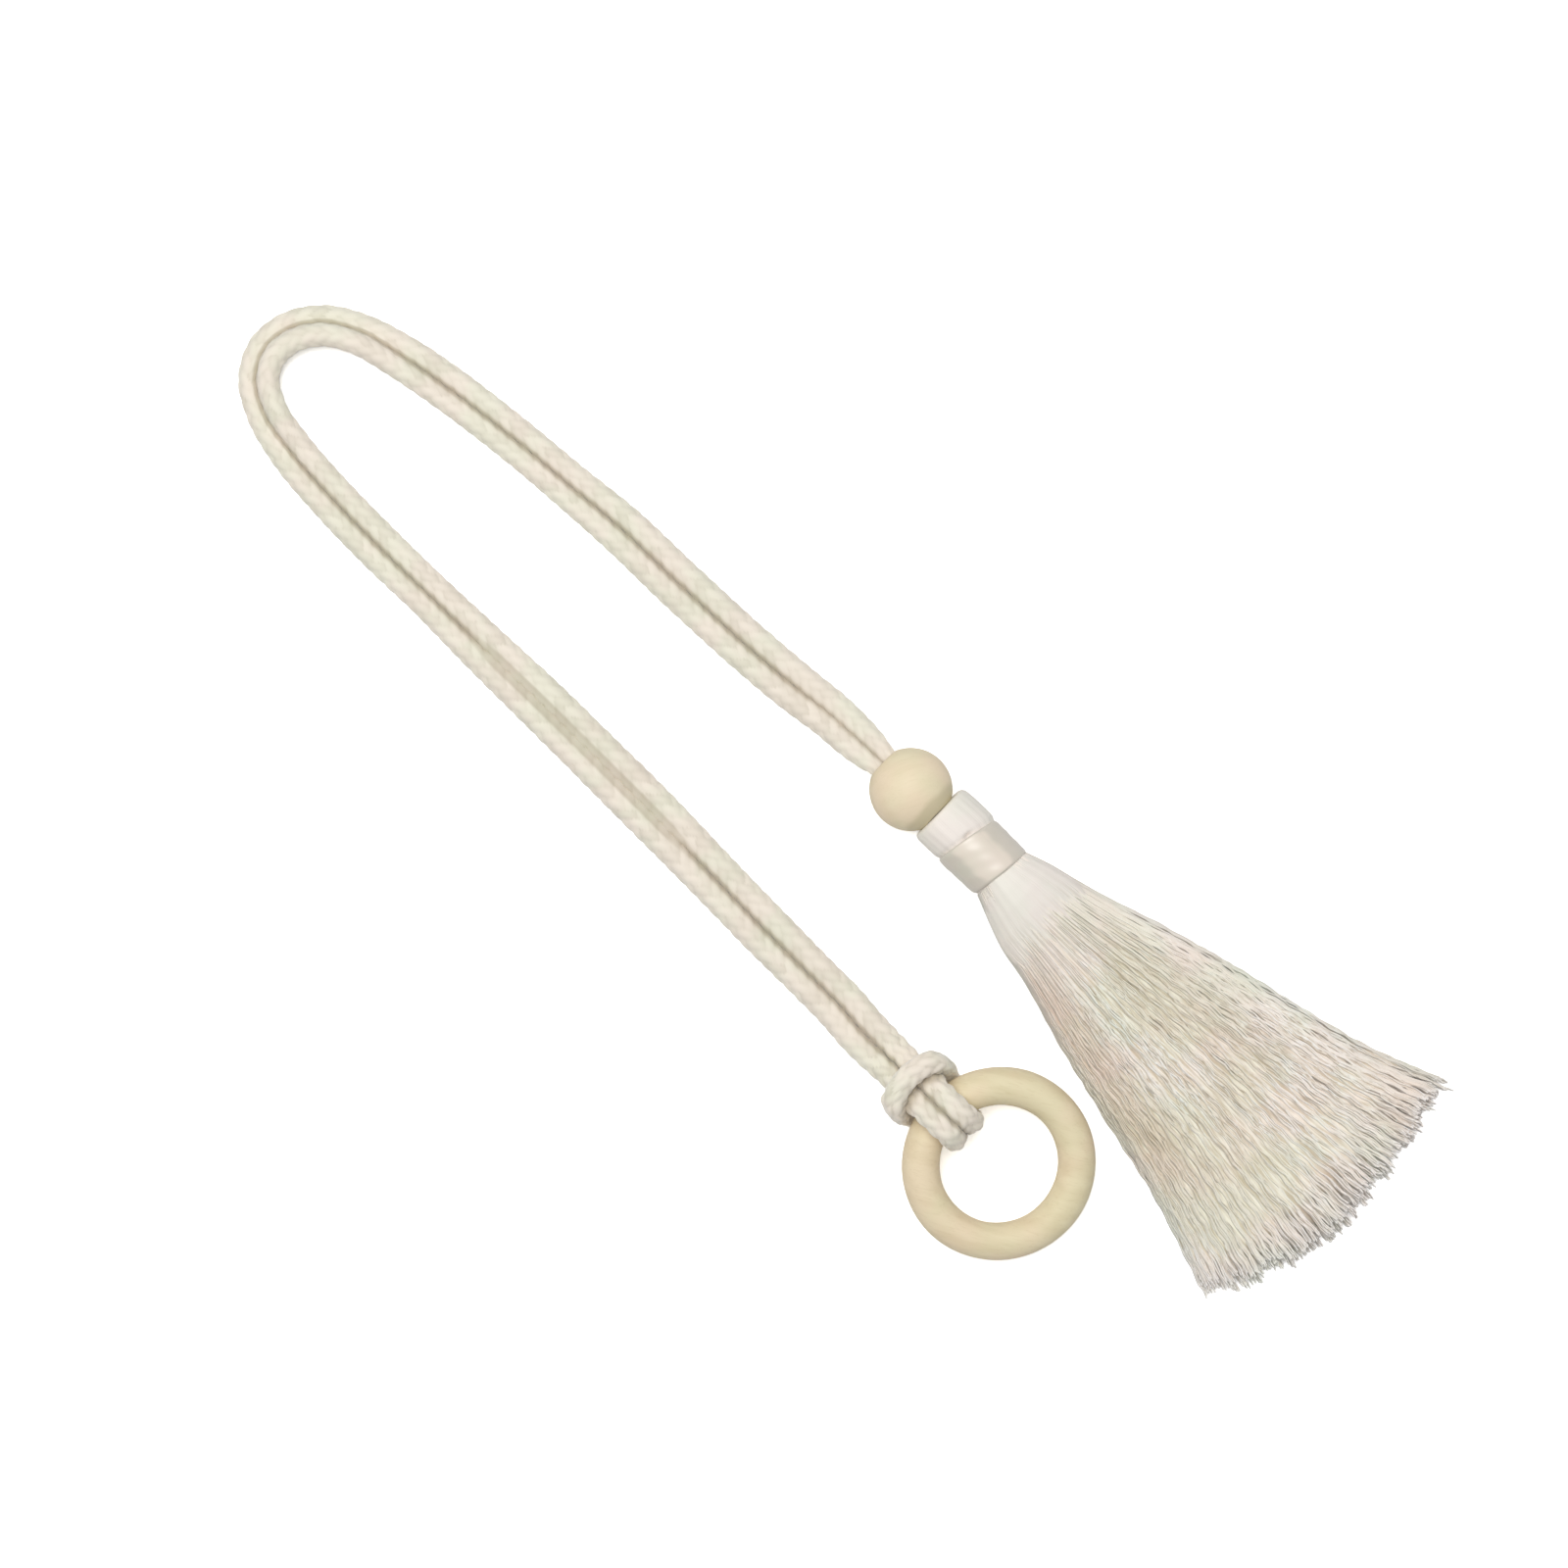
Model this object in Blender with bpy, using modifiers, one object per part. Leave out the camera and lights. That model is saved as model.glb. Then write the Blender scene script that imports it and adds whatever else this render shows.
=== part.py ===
"""Curtain tieback lying on a table.

One length of braided cord is folded in half. Its middle is hitched round a wooden ring,
its two tails run side by side in one long bend, pass through a wooden bead and end at
the head of a flat, fanned-out tassel, whose neck is wrapped in a satin band.

Metres, +Z up. The route tables are in millimetres seen from above, measured from the
middle of the bead: +X runs from the bead to the tassel's tips and +Y to the bead's left.
The surface that carries everything is z = 0.
"""

import math
import random

import bmesh
import bpy
from mathutils import Matrix, Vector

MM = 0.001
GAP = 0.3
REST_FLAT = 0.15

FOOTPRINT_MIDDLE = Vector((89.0, -21.8, 0.0))

RING_MEAN_RADIUS = 24.0
RING_WIRE_RADIUS = 6.0
RING_MIDDLE = (99.0, -63.6)
RING_TILT = math.radians(9.6)

BEAD_RADIUS = 12.75
BEAD_HOLE_RADIUS = 5.25
BEAD_FACE = math.sqrt(BEAD_RADIUS**2 - BEAD_HOLE_RADIUS**2)

CORD_RADIUS = 3.6
SQUEEZED_RADIUS = 3.2
CORD_MAX_TURN = math.radians(21.0)
CORD_MAX_STEP = 26.0

BAND_START = 24.6
BAND_END = 37.6
BAND_OUTER_RADIUS = (10.5, 10.1)
NECK_RADIUS = 9.0
NECK_MIDDLE = (0.8, 10.6)

HEAD_START = BEAD_FACE + GAP
NECK_START = BAND_START - GAP
NECK_END = BAND_END + GAP
BACKING_END = 60.0
LOCK_START = 52.0


def srgb(red, green, blue):
    """Colour as read by eye, 0 to 255, as the linear values that a shader takes."""
    return tuple((value / 255.0) ** 2.2 for value in (red, green, blue)) + (1.0,)


MATERIALS = {
    # name: colour, roughness
    "ring_wood": (srgb(219, 205, 169), 0.55),
    "bead_wood": (srgb(232, 217, 187), 0.50),
    "cord_braid": (srgb(229, 223, 204), 0.90),
    "tassel_yarn": (srgb(216, 207, 192), 0.80),
    "band_satin": (srgb(226, 219, 206), 0.35),
}

CORD_LEG = (
    # x, y of the pair's mid-line; apart: centre to centre; outer and inner strand height; radius
    (BEAD_FACE, 0.0, 5.0, 12.6, 12.6, 2.35),
    (0.0, 0.0, 5.0, 12.6, 12.6, 2.35),
    (-11.5, 0.0, 5.0, 12.6, 12.6, 2.35),
    (-17.0, -0.1, 6.4, 11.5, 11.5, 2.95),
    (-24.0, -0.2, 7.2, 8.7, 8.7, 3.40),
    (-33.0, -0.4, 7.5, 5.5, 5.5, 3.57),
    (-45.0, -1.7, 7.8, 3.8, 3.8, 3.72),
    (-68.0, -3.2, 7.9, 3.8, 3.8, 3.76),
    (-94.0, -3.9, 7.9, 3.8, 3.8, 3.78),
    (-119.0, -4.1, 7.8, 3.7, 3.7, 3.70),
    (-142.0, -5.6, 7.2, 3.4, 3.4, 3.42),
    (-166.0, -7.4, 7.1, 3.4, 3.4, 3.38),
    (-188.0, -10.0, 7.2, 3.4, 3.5, 3.42),
    (-206.0, -13.2, 7.0, 3.4, 4.7, 3.40),
    (-219.0, -17.0, 6.3, 3.4, 6.7, 3.38),
    (-228.7, -23.0, 6.2, 3.5, 7.3, 3.45),
    (-234.2, -31.0, 6.3, 3.5, 7.4, 3.50),
    (-235.4, -39.8, 6.3, 3.5, 7.4, 3.50),
    (-231.5, -48.0, 6.3, 3.4, 7.1, 3.42),
    (-222.5, -53.8, 6.3, 3.4, 6.7, 3.38),
    (-209.0, -57.2, 7.0, 3.4, 4.7, 3.40),
    (-192.0, -58.9, 7.3, 3.5, 3.6, 3.45),
    (-171.0, -59.7, 7.4, 3.5, 3.5, 3.50),
    (-147.0, -59.7, 7.3, 3.5, 3.5, 3.45),
    (-122.0, -59.8, 8.0, 3.7, 3.7, 3.75),
    (-98.0, -59.7, 8.4, 4.0, 4.0, 3.98),
    (-74.0, -60.0, 8.5, 4.1, 4.1, 4.05),
    (-50.0, -60.4, 8.6, 4.1, 4.1, 4.10),
    (-26.0, -61.2, 8.3, 3.9, 3.9, 3.92),
    (-2.0, -62.0, 8.3, 3.9, 3.9, 3.92),
    (18.0, -62.4, 8.1, 3.9, 3.9, 3.82),
    (31.0, -62.7, 8.2, 4.7, 4.7, 3.85),
)

CORD_HITCH = (
    # out: from the middle of the ring's wire, away from the ring; side: from the ring's
    # centre line; up: height; radius
    (33.0, 4.1, 7.6, 3.75),
    (24.0, 3.9, 11.0, 3.60),
    (17.0, 3.75, 13.8, 3.50),
    (11.6, 3.7, 17.2, 3.50),
    (7.8, 3.7, 20.7, 3.50),
    (4.0, 3.7, 23.1, 3.50),
    (-0.8, 3.7, 23.9, 3.50),
    (-5.6, 3.7, 22.4, 3.50),
    (-9.3, 3.7, 18.7, 3.50),
    (-10.6, 3.8, 14.0, 3.50),
    (-9.7, 4.0, 9.3, 3.50),
    (-6.2, 4.6, 5.5, 3.50),
    (-1.0, 5.8, 3.8, 3.50),
    (4.0, 7.8, 4.8, 3.50),
    (7.4, 10.0, 8.6, 3.50),
    (8.9, 11.3, 13.4, 3.50),
    (10.6, 11.3, 18.4, 3.50),
    (13.2, 9.5, 22.7, 3.50),
    (15.2, 5.0, 24.6, 3.50),
)
CORD_BAR_MIDDLE = (15.8, 0.0, 24.9, 3.50)

BACKING_SECTIONS = (
    # x, y of the middle, half width, bottom, top
    (HEAD_START, 0.8, 8.7, 1.7, 18.9),
    (12.6, 0.8, 9.8, 0.5, 20.1),
    (14.0, 0.8, 10.4, -0.1, 20.6),
    (18.5, 0.9, 10.5, -0.2, 20.8),
    (23.0, 0.9, 10.4, -0.1, 20.7),
    (NECK_START, NECK_MIDDLE[0], NECK_RADIUS, NECK_MIDDLE[1] - NECK_RADIUS, NECK_MIDDLE[1] + NECK_RADIUS),
    (NECK_END, NECK_MIDDLE[0], NECK_RADIUS, NECK_MIDDLE[1] - NECK_RADIUS, NECK_MIDDLE[1] + NECK_RADIUS),
    (39.0, 0.6, 10.0, 0.8, 20.2),
    (42.0, 0.3, 11.5, 0.6, 20.7),
    (47.0, 0.0, 13.6, 0.5, 20.4),
    (53.0, 0.0, 15.3, 0.5, 19.4),
    (BACKING_END - 1.0, 0.0, 16.4, 0.6, 18.2),
    (BACKING_END, 0.0, 15.4, 1.6, 17.2),
)
BACKING_SIDES = 28

SKIRT_SECTIONS = (
    # x, half width, height over the surface
    (LOCK_START, 15.0, 19.4),
    (64.0, 17.7, 17.8),
    (88.0, 25.0, 14.6),
    (112.0, 31.0, 12.4),
    (136.0, 36.6, 10.8),
    (160.0, 43.3, 9.8),
    (178.0, 49.2, 9.2),
    (192.0, 52.6, 9.0),
)
SKIRT_LAYERS = (
    # locks, share of the half width at the root and at the tips, bottom, top
    (30, 0.76, 1.00, 0.00, 0.27),
    (28, 0.94, 0.93, 0.27, 0.53),
    (24, 0.94, 0.82, 0.53, 0.78),
    (18, 0.74, 0.64, 0.78, 1.00),
)
SKIRT_DROOP = 0.42
SKIRT_END = 190.6
SKIRT_END_DROP = (15.5, 8.0)
LOCK_GAP = (0.30, 0.90)
LOCK_STATIONS = (0.0, 0.12, 0.32, 0.54, 0.76, 0.93, 1.0)
LOCK_TIP_SIZE = 0.55
LOCK_SEED = 41


def clear_scene():
    for item in list(bpy.data.objects):
        bpy.data.objects.remove(item, do_unlink=True)


def new_collection(name):
    group = bpy.data.collections.new(name)
    bpy.context.scene.collection.children.link(group)
    return group


def new_material(name):
    colour, roughness = MATERIALS[name]
    material = bpy.data.materials.new(name)
    material.diffuse_color = colour
    material.use_nodes = True
    shader = material.node_tree.nodes["Principled BSDF"]
    shader.inputs["Base Color"].default_value = colour
    shader.inputs["Roughness"].default_value = roughness
    shader.inputs["Metallic"].default_value = 0.0
    return material


def place(x, y, z=0.0):
    """Point of the tieback, from millimetres at the bead to metres at the footprint's middle."""
    return (Vector((x, y, z)) - FOOTPRINT_MIDDLE) * MM


def add_object(name, data, collection, material=None):
    item = bpy.data.objects.new(name, data)
    collection.objects.link(item)
    if material:
        item.data.materials.append(material)
    return item


def smooth_shade(mesh):
    mesh.shade_smooth()
    mesh.set_sharp_from_angle(angle=math.radians(40.0))


def cut_flat(item, cutter):
    """The small level spot on which a round wooden piece rests."""
    flat = item.modifiers.new("rest flat", "BOOLEAN")
    flat.operation = "DIFFERENCE"
    flat.solver = "EXACT"
    flat.object = cutter


def turned(name, profile, steps, collection, material):
    """Piece turned about its own Z axis, which then lies along world X."""
    mesh = bpy.data.meshes.new(name)
    points = [(radius * MM, 0.0, height * MM) for radius, height in profile]
    edges = [(index, (index + 1) % len(points)) for index in range(len(points))]
    mesh.from_pydata(points, edges, [])
    item = add_object(name, mesh, collection, material)
    screw = item.modifiers.new("turn", "SCREW")
    screw.axis = "Z"
    screw.angle = math.tau
    screw.steps = steps
    screw.render_steps = steps
    screw.merge_threshold = 0.00001
    screw.use_smooth_shade = True
    item.rotation_euler = (0.0, math.pi / 2.0, 0.0)
    return item


def make_floor_cutter(collection):
    """Block under the surface, used to cut the resting flats."""
    mesh = bpy.data.meshes.new("floor_cutter")
    shape = bmesh.new()
    bmesh.ops.create_cube(shape, size=1.0, matrix=Matrix.Diagonal((0.6, 0.4, 0.04, 1.0)))
    shape.to_mesh(mesh)
    shape.free()
    cutter = add_object("floor_cutter", mesh, collection)
    cutter.location = (0.0, 0.0, -0.02)
    cutter.hide_render = True
    cutter.display_type = "WIRE"
    return cutter


def ring_middle_height():
    return RING_WIRE_RADIUS + RING_MEAN_RADIUS * math.sin(RING_TILT) - REST_FLAT


def make_ring(collection, cutter):
    """Turned wooden ring: its far side lies on the surface, the hitch props up the near side."""
    bpy.ops.mesh.primitive_torus_add(
        major_segments=52,
        minor_segments=16,
        major_radius=RING_MEAN_RADIUS * MM,
        minor_radius=RING_WIRE_RADIUS * MM,
        location=place(*RING_MIDDLE, ring_middle_height()),
        rotation=(0.0, RING_TILT, 0.0),
    )
    ring = bpy.context.object
    ring.name = "ring"
    ring.data.name = "ring"
    for group in list(ring.users_collection):
        group.objects.unlink(ring)
    collection.objects.link(ring)
    ring.data.materials.append(new_material("ring_wood"))
    smooth_shade(ring.data)
    cut_flat(ring, cutter)


def make_bead(collection, cutter):
    """Wooden ball drilled through along X for the two cord tails."""
    edge_angle = math.asin(BEAD_HOLE_RADIUS / BEAD_RADIUS)
    arc_points = 15
    profile = []
    for index in range(arc_points):
        angle = edge_angle + (math.pi - 2.0 * edge_angle) * index / (arc_points - 1)
        profile.append((BEAD_RADIUS * math.sin(angle), BEAD_RADIUS * math.cos(angle)))
    bead = turned("bead", profile, 36, collection, new_material("bead_wood"))
    bead.location = place(0.0, 0.0, BEAD_RADIUS - REST_FLAT)
    cut_flat(bead, cutter)


def make_binding(collection):
    """Satin band wound round the tassel's neck, under the head."""
    wide, narrow = BAND_OUTER_RADIUS
    half = (BAND_END - BAND_START) / 2.0
    rounding = 0.5
    inner = NECK_RADIUS + GAP
    profile = (
        (narrow - rounding, half),
        (narrow, half - rounding),
        ((wide + narrow) / 2.0 + 0.1, 0.0),
        (wide, rounding - half),
        (wide - rounding, -half),
        (inner, -half),
        (inner, half),
    )
    band = turned("binding", profile, 36, collection, new_material("band_satin"))
    band.location = place((BAND_START + BAND_END) / 2.0, *NECK_MIDDLE)


def cord_points():
    """The cord's own points, tail to tail: (x, y, z, radius) in millimetres at the bead."""
    outer = []
    inner = []
    for index, (x, y, apart, outer_height, inner_height, radius) in enumerate(CORD_LEG):
        before = CORD_LEG[max(index - 1, 0)]
        after = CORD_LEG[min(index + 1, len(CORD_LEG) - 1)]
        along = Vector((after[0] - before[0], after[1] - before[1])).normalized()
        across = Vector((-along.y, along.x)) * apart / 2.0
        outer.append((x - across.x, y - across.y, outer_height, radius))
        inner.append((x + across.x, y + across.y, inner_height, radius))
    wire_x = RING_MIDDLE[0] - RING_MEAN_RADIUS * math.cos(RING_TILT)
    loop = {}
    for side in (-1.0, 1.0):
        loop[side] = [
            (wire_x - out, RING_MIDDLE[1] + side * offset, up, radius)
            for out, offset, up, radius in CORD_HITCH
        ]
    out, offset, up, radius = CORD_BAR_MIDDLE
    bar = (wire_x - out, RING_MIDDLE[1] + offset, up, radius)
    return outer + loop[-1.0] + [bar] + loop[1.0][::-1] + inner[::-1]


def smooth_route(points, step=1.0):
    """Smooth curve through the points, as closely spaced samples."""
    route = [Vector(point) for point in points]
    lengths = [(b.xyz - a.xyz).length for a, b in zip(route, route[1:])]
    slopes = []
    for index, point in enumerate(route):
        if index == 0:
            slopes.append((route[1] - point) / lengths[0])
        elif index == len(route) - 1:
            slopes.append((point - route[-2]) / lengths[-1])
        else:
            back = (point - route[index - 1]) / lengths[index - 1]
            ahead = (route[index + 1] - point) / lengths[index]
            share = lengths[index - 1] / (lengths[index - 1] + lengths[index])
            slopes.append(back.lerp(ahead, share))
    samples = []
    for index, length in enumerate(lengths):
        count = max(2, round(length / step))
        for number in range(count):
            t = number / count
            samples.append(
                route[index] * (2 * t**3 - 3 * t**2 + 1)
                + slopes[index] * (t**3 - 2 * t**2 + t) * length
                + route[index + 1] * (3 * t**2 - 2 * t**3)
                + slopes[index + 1] * (t**3 - t**2) * length
            )
    samples.append(route[-1])
    for sample in samples:
        sample.z = max(sample.z, sample.w)
    return samples


def thin_route(samples, squeezed):
    """Few points of the smooth curve: close together only where the cord turns or is squeezed."""
    kept = [samples[0]]
    turned_so_far = 0.0
    travelled = 0.0
    for before, point, after in zip(samples, samples[1:], samples[2:]):
        back = point.xyz - before.xyz
        ahead = after.xyz - point.xyz
        turned_so_far += back.angle(ahead)
        travelled += back.length
        if turned_so_far > CORD_MAX_TURN or travelled > CORD_MAX_STEP or point in squeezed:
            kept.append(point)
            turned_so_far = 0.0
            travelled = 0.0
    kept.append(samples[-1])
    return kept


def make_cord(collection):
    """The folded cord as one tube, thinner where the bead and the hitch squeeze it."""
    route = cord_points()
    squeezed = [Vector(point) for point in route if point[3] < SQUEEZED_RADIUS]
    points = thin_route(smooth_route(route), squeezed)
    curve = bpy.data.curves.new("cord", "CURVE")
    curve.dimensions = "3D"
    curve.bevel_depth = CORD_RADIUS * MM
    curve.bevel_resolution = 4
    curve.use_fill_caps = True
    spline = curve.splines.new("POLY")
    spline.points.add(len(points) - 1)
    for knot, point in zip(spline.points, points):
        knot.co = (*place(point.x, point.y, point.z), 1.0)
        knot.radius = point.w / CORD_RADIUS
    add_object("cord", curve, collection, new_material("cord_braid"))


def add_loft(shape, sections):
    """Closed skin through rings of points, every ring with as many points."""
    rings = [[shape.verts.new(point) for point in section] for section in sections]
    sides = len(rings[0])
    for ring, following in zip(rings, rings[1:]):
        for side in range(sides):
            neighbour = (side + 1) % sides
            shape.faces.new((ring[side], ring[neighbour], following[neighbour], following[side]))
    shape.faces.new(rings[0][::-1])
    shape.faces.new(rings[-1])


def mesh_object(name, shape, collection, material=None):
    bmesh.ops.recalc_face_normals(shape, faces=shape.faces)
    mesh = bpy.data.meshes.new(name)
    shape.to_mesh(mesh)
    shape.free()
    return add_object(name, mesh, collection, material)


def table_value(table, x, column):
    """Value of a column at x, on straight lines between the table's rows."""
    for row, following in zip(table, table[1:]):
        if x <= following[0]:
            share = max(0.0, (x - row[0]) / (following[0] - row[0]))
            return row[column] + (following[column] - row[column]) * share
    return table[-1][column]


def backing_section(row):
    x, middle, half_width, bottom, top = row
    points = []
    for side in range(BACKING_SIDES):
        angle = math.tau * (side + 0.5) / BACKING_SIDES
        y = middle + half_width * math.cos(angle)
        z = (bottom + top) / 2.0 + (top - bottom) / 2.0 * math.sin(angle)
        points.append(place(x, y, max(z, 0.0)))
    return points


def lock_section(x, layer, left, right, shift, size, gap):
    """Four corners of one lock: left and right are shares of its layer, from -1 to 1."""
    _, root_share, tip_share, low, high = layer
    along = (x - LOCK_START) / (SKIRT_END - LOCK_START)
    half_width = table_value(SKIRT_SECTIONS, x, 1)
    height = table_value(SKIRT_SECTIONS, x, 2)
    reach = half_width * (root_share + (tip_share - root_share) * min(1.0, 2.0 * along))
    y_left = reach * left + gap / 2.0
    y_right = reach * right - gap / 2.0
    y_middle = (y_left + y_right) / 2.0 + shift
    y_half = (y_right - y_left) / 2.0 * size
    droop = 1.0 - SKIRT_DROOP * min(1.0, along * 2.5) * (y_middle / half_width) ** 2
    z_low = height * low * droop + (gap / 2.0 if low > 0.0 else 0.0)
    z_high = height * high * droop - gap / 2.0
    z_high = z_low + (z_high - z_low) * size
    return [
        place(x, y_middle - y_half, z_low),
        place(x, y_middle + y_half, z_low),
        place(x, y_middle + y_half, z_high),
        place(x, y_middle - y_half, z_high),
    ]


def add_layer(shape, layer, rng):
    """One layer of locks, of uneven widths and lengths, a small gap apart."""
    widths = [rng.uniform(0.8, 1.2) for _ in range(layer[0])]
    edge = -1.0
    for width in widths:
        left = edge
        right = edge + 2.0 * width / sum(widths)
        edge = right
        middle = (left + right) / 2.0
        drop = SKIRT_END_DROP[0] if middle < 0.0 else SKIRT_END_DROP[1]
        end = SKIRT_END - drop * middle**2 - rng.uniform(0.0, 3.2)
        sway = rng.uniform(-0.12, 0.12)
        sections = []
        for share in LOCK_STATIONS:
            x = LOCK_START + (end - LOCK_START) * share
            gap = LOCK_GAP[0] + (LOCK_GAP[1] - LOCK_GAP[0]) * share
            size = LOCK_TIP_SIZE if share == 1.0 else 1.0
            shift = sway * math.sin(share * 9.0 + middle * 4.0)
            sections.append(lock_section(x, layer, left, right, shift, size, gap))
        add_loft(shape, sections)


def make_tassel(collection, cutters):
    """Yarn head and neck in one body with the skirt's locks, which part below the neck."""
    shape = bmesh.new()
    add_loft(shape, [backing_section(row) for row in BACKING_SECTIONS])
    tassel = mesh_object("tassel", shape, collection, new_material("tassel_yarn"))
    rng = random.Random(LOCK_SEED)
    shape = bmesh.new()
    for layer in SKIRT_LAYERS:
        add_layer(shape, layer, rng)
    locks = mesh_object("skirt_locks", shape, cutters)
    locks.hide_render = True
    locks.display_type = "WIRE"
    union = tassel.modifiers.new("fuse the locks' roots", "BOOLEAN")
    union.operation = "UNION"
    union.solver = "EXACT"
    union.object = locks


def build():
    clear_scene()
    parts = new_collection("curtain_tieback")
    cutters = new_collection("cutters")
    floor_cutter = make_floor_cutter(cutters)
    make_ring(parts, floor_cutter)
    make_bead(parts, floor_cutter)
    make_cord(parts)
    make_tassel(parts, cutters)
    make_binding(parts)


build()
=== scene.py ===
"""Looks of a curtain tieback that lies on a white table, seen from straight above.

A braided cord is folded in half and hitched to a wooden ring. Its two tails pass through a
wooden bead into the head of a yarn tassel, whose neck is bound with a satin band.

Lengths are millimetres from the middle of the bead: +X runs along the tassel to its tips,
+Y to the bead's left, +Z up from the table. place() turns them into metres in the frame.
"""

import math
from functools import partial

import bpy
import numpy as np
from mathutils import Matrix, Vector


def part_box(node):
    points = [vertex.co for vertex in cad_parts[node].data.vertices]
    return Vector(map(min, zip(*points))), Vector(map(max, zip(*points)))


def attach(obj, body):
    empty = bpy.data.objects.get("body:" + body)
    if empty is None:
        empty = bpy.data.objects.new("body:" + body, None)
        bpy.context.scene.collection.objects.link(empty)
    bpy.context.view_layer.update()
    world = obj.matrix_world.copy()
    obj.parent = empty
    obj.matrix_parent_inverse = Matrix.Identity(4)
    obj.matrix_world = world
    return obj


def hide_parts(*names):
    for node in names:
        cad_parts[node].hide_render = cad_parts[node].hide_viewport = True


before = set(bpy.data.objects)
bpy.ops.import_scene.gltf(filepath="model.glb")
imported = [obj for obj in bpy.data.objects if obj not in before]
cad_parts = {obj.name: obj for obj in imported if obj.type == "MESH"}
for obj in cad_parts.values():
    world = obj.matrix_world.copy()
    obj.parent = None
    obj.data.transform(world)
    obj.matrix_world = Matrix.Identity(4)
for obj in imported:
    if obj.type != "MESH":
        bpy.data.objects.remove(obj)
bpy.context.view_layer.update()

# Table, lamp and camera
# A white table under one wide soft lamp in a white room. The camera looks straight down and
# takes in 480 mm of the table, turned so that the tassel points to the lower right.

MM = 0.001
bead_low, bead_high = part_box("bead")
BEAD_SPOT = Vector(((bead_low.x + bead_high.x) / 2.0, (bead_low.y + bead_high.y) / 2.0, 0.0))
VIEW_WIDTH = 480.0
VIEW_TURN = math.radians(44.0)
VIEW_MIDDLE = (-29.0, -25.7, 9.0)
CAMERA_HEIGHT = 1300.0
SENSOR_WIDTH = 36.0
LAMP_SPOT = (-420.0, 60.0, 1600.0)
LAMP_SIZE = 1.1
LAMP_POWER = 17.0
ROOM_LIGHT = (0.30, 0.50)
TABLE_SIZE = 6.0
TABLE_SEEN = (2.0, 2.0, 2.0, 1.0)
TABLE_BOUNCE = (0.8, 0.8, 0.8, 1.0)


def place(x, y, z=0.0):
    return BEAD_SPOT + Vector((x, y, z)) * MM


def show(name, data):
    """New object with this data, in the scene."""
    item = bpy.data.objects.new(name, data)
    bpy.context.scene.collection.objects.link(item)
    return item


def plug(tree, value, socket):
    """Joins an output to a socket, or sets the socket to a plain value."""
    if isinstance(value, bpy.types.NodeSocket):
        tree.links.new(value, socket)
    else:
        socket.default_value = value


def add_node(tree, kind, **settings):
    """New node. A name with a capital is an input to join or set, any other is a setting."""
    node = tree.nodes.new(kind)
    for name, value in settings.items():
        if name[0].isupper():
            plug(tree, value, node.inputs[name.replace("_", " ")])
        else:
            setattr(node, name, value)
    return node


def coordinates(tree, kind):
    return add_node(tree, "ShaderNodeTexCoord").outputs[kind]


def parts(tree, value):
    """X, Y and Z of a vector."""
    return add_node(tree, "ShaderNodeSeparateXYZ", Vector=value).outputs


def blend_colours(tree, share, first, second, how="MIX"):
    node = add_node(tree, "ShaderNodeMix", data_type="RGBA", blend_type=how, Factor=share)
    plug(tree, first, node.inputs[6])
    plug(tree, second, node.inputs[7])
    return node.outputs[2]


def ramp(tree, value, low, high, start=0.0, end=1.0):
    """Smooth step of a value: start at low, end at high."""
    sockets = {"Value": value, "From_Min": low, "From_Max": high, "To_Min": start, "To_Max": end}
    node = add_node(tree, "ShaderNodeMapRange", interpolation_type="SMOOTHSTEP", **sockets)
    return node.outputs["Result"]


def new_material(name, **settings):
    """Material with one Principled BSDF, whose plain sockets are set here."""
    material = bpy.data.materials.new(name)
    material.use_nodes = True
    shader = material.node_tree.nodes["Principled BSDF"]
    for socket, value in settings.items():
        shader.inputs[socket.replace("_", " ")].default_value = value
    return material, material.node_tree, shader


half = TABLE_SIZE / 2.0
table_mesh = bpy.data.meshes.new("table")
table_corners = [(-half, -half, 0.0), (half, -half, 0.0), (half, half, 0.0), (-half, half, 0.0)]
table_mesh.from_pydata(table_corners, [], [(0, 1, 2, 3)])
table = show("table", table_mesh)
table_material, tree, shader = new_material("table_white")
seen = add_node(tree, "ShaderNodeLightPath").outputs["Is Camera Ray"]
paper = add_node(tree, "ShaderNodeBsdfDiffuse", Color=blend_colours(tree, seen, TABLE_BOUNCE, TABLE_SEEN))
plug(tree, paper.outputs[0], tree.nodes["Material Output"].inputs["Surface"])
tree.nodes.remove(shader)
table_mesh.materials.append(table_material)

lamp = show("lamp", bpy.data.lights.new("lamp", "AREA"))
lamp.data.shape = "DISK"
lamp.data.size = LAMP_SIZE
lamp.data.energy = LAMP_POWER
lamp.location = place(*LAMP_SPOT)
lamp.rotation_euler = (place(*VIEW_MIDDLE) - lamp.location).to_track_quat("-Z", "Y").to_euler()

world = bpy.data.worlds.new("room")
bpy.context.scene.world = world
world.use_nodes = True
tree = world.node_tree
up = parts(tree, coordinates(tree, "Generated"))["Z"]
plug(tree, ramp(tree, up, 0.0, 1.0, *ROOM_LIGHT), tree.nodes["Background"].inputs["Strength"])
tree.nodes["Background"].inputs["Color"].default_value = (1.0, 1.0, 1.0, 1.0)

camera = show("camera", bpy.data.cameras.new("camera"))
camera.data.sensor_width = SENSOR_WIDTH
camera.data.lens = SENSOR_WIDTH * CAMERA_HEIGHT / VIEW_WIDTH
camera.location = place(*VIEW_MIDDLE) + Vector((0.0, 0.0, CAMERA_HEIGHT * MM))
camera.rotation_euler = (0.0, 0.0, VIEW_TURN)
bpy.context.scene.camera = camera
bpy.context.scene.view_settings.view_transform = "Standard"

# Cord
# One soft ivory cord, braided from twelve yarns, each over two and under two. Its halves lie
# side by side, its middle is hitched round the ring, its tails are squeezed through the bead.

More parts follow.
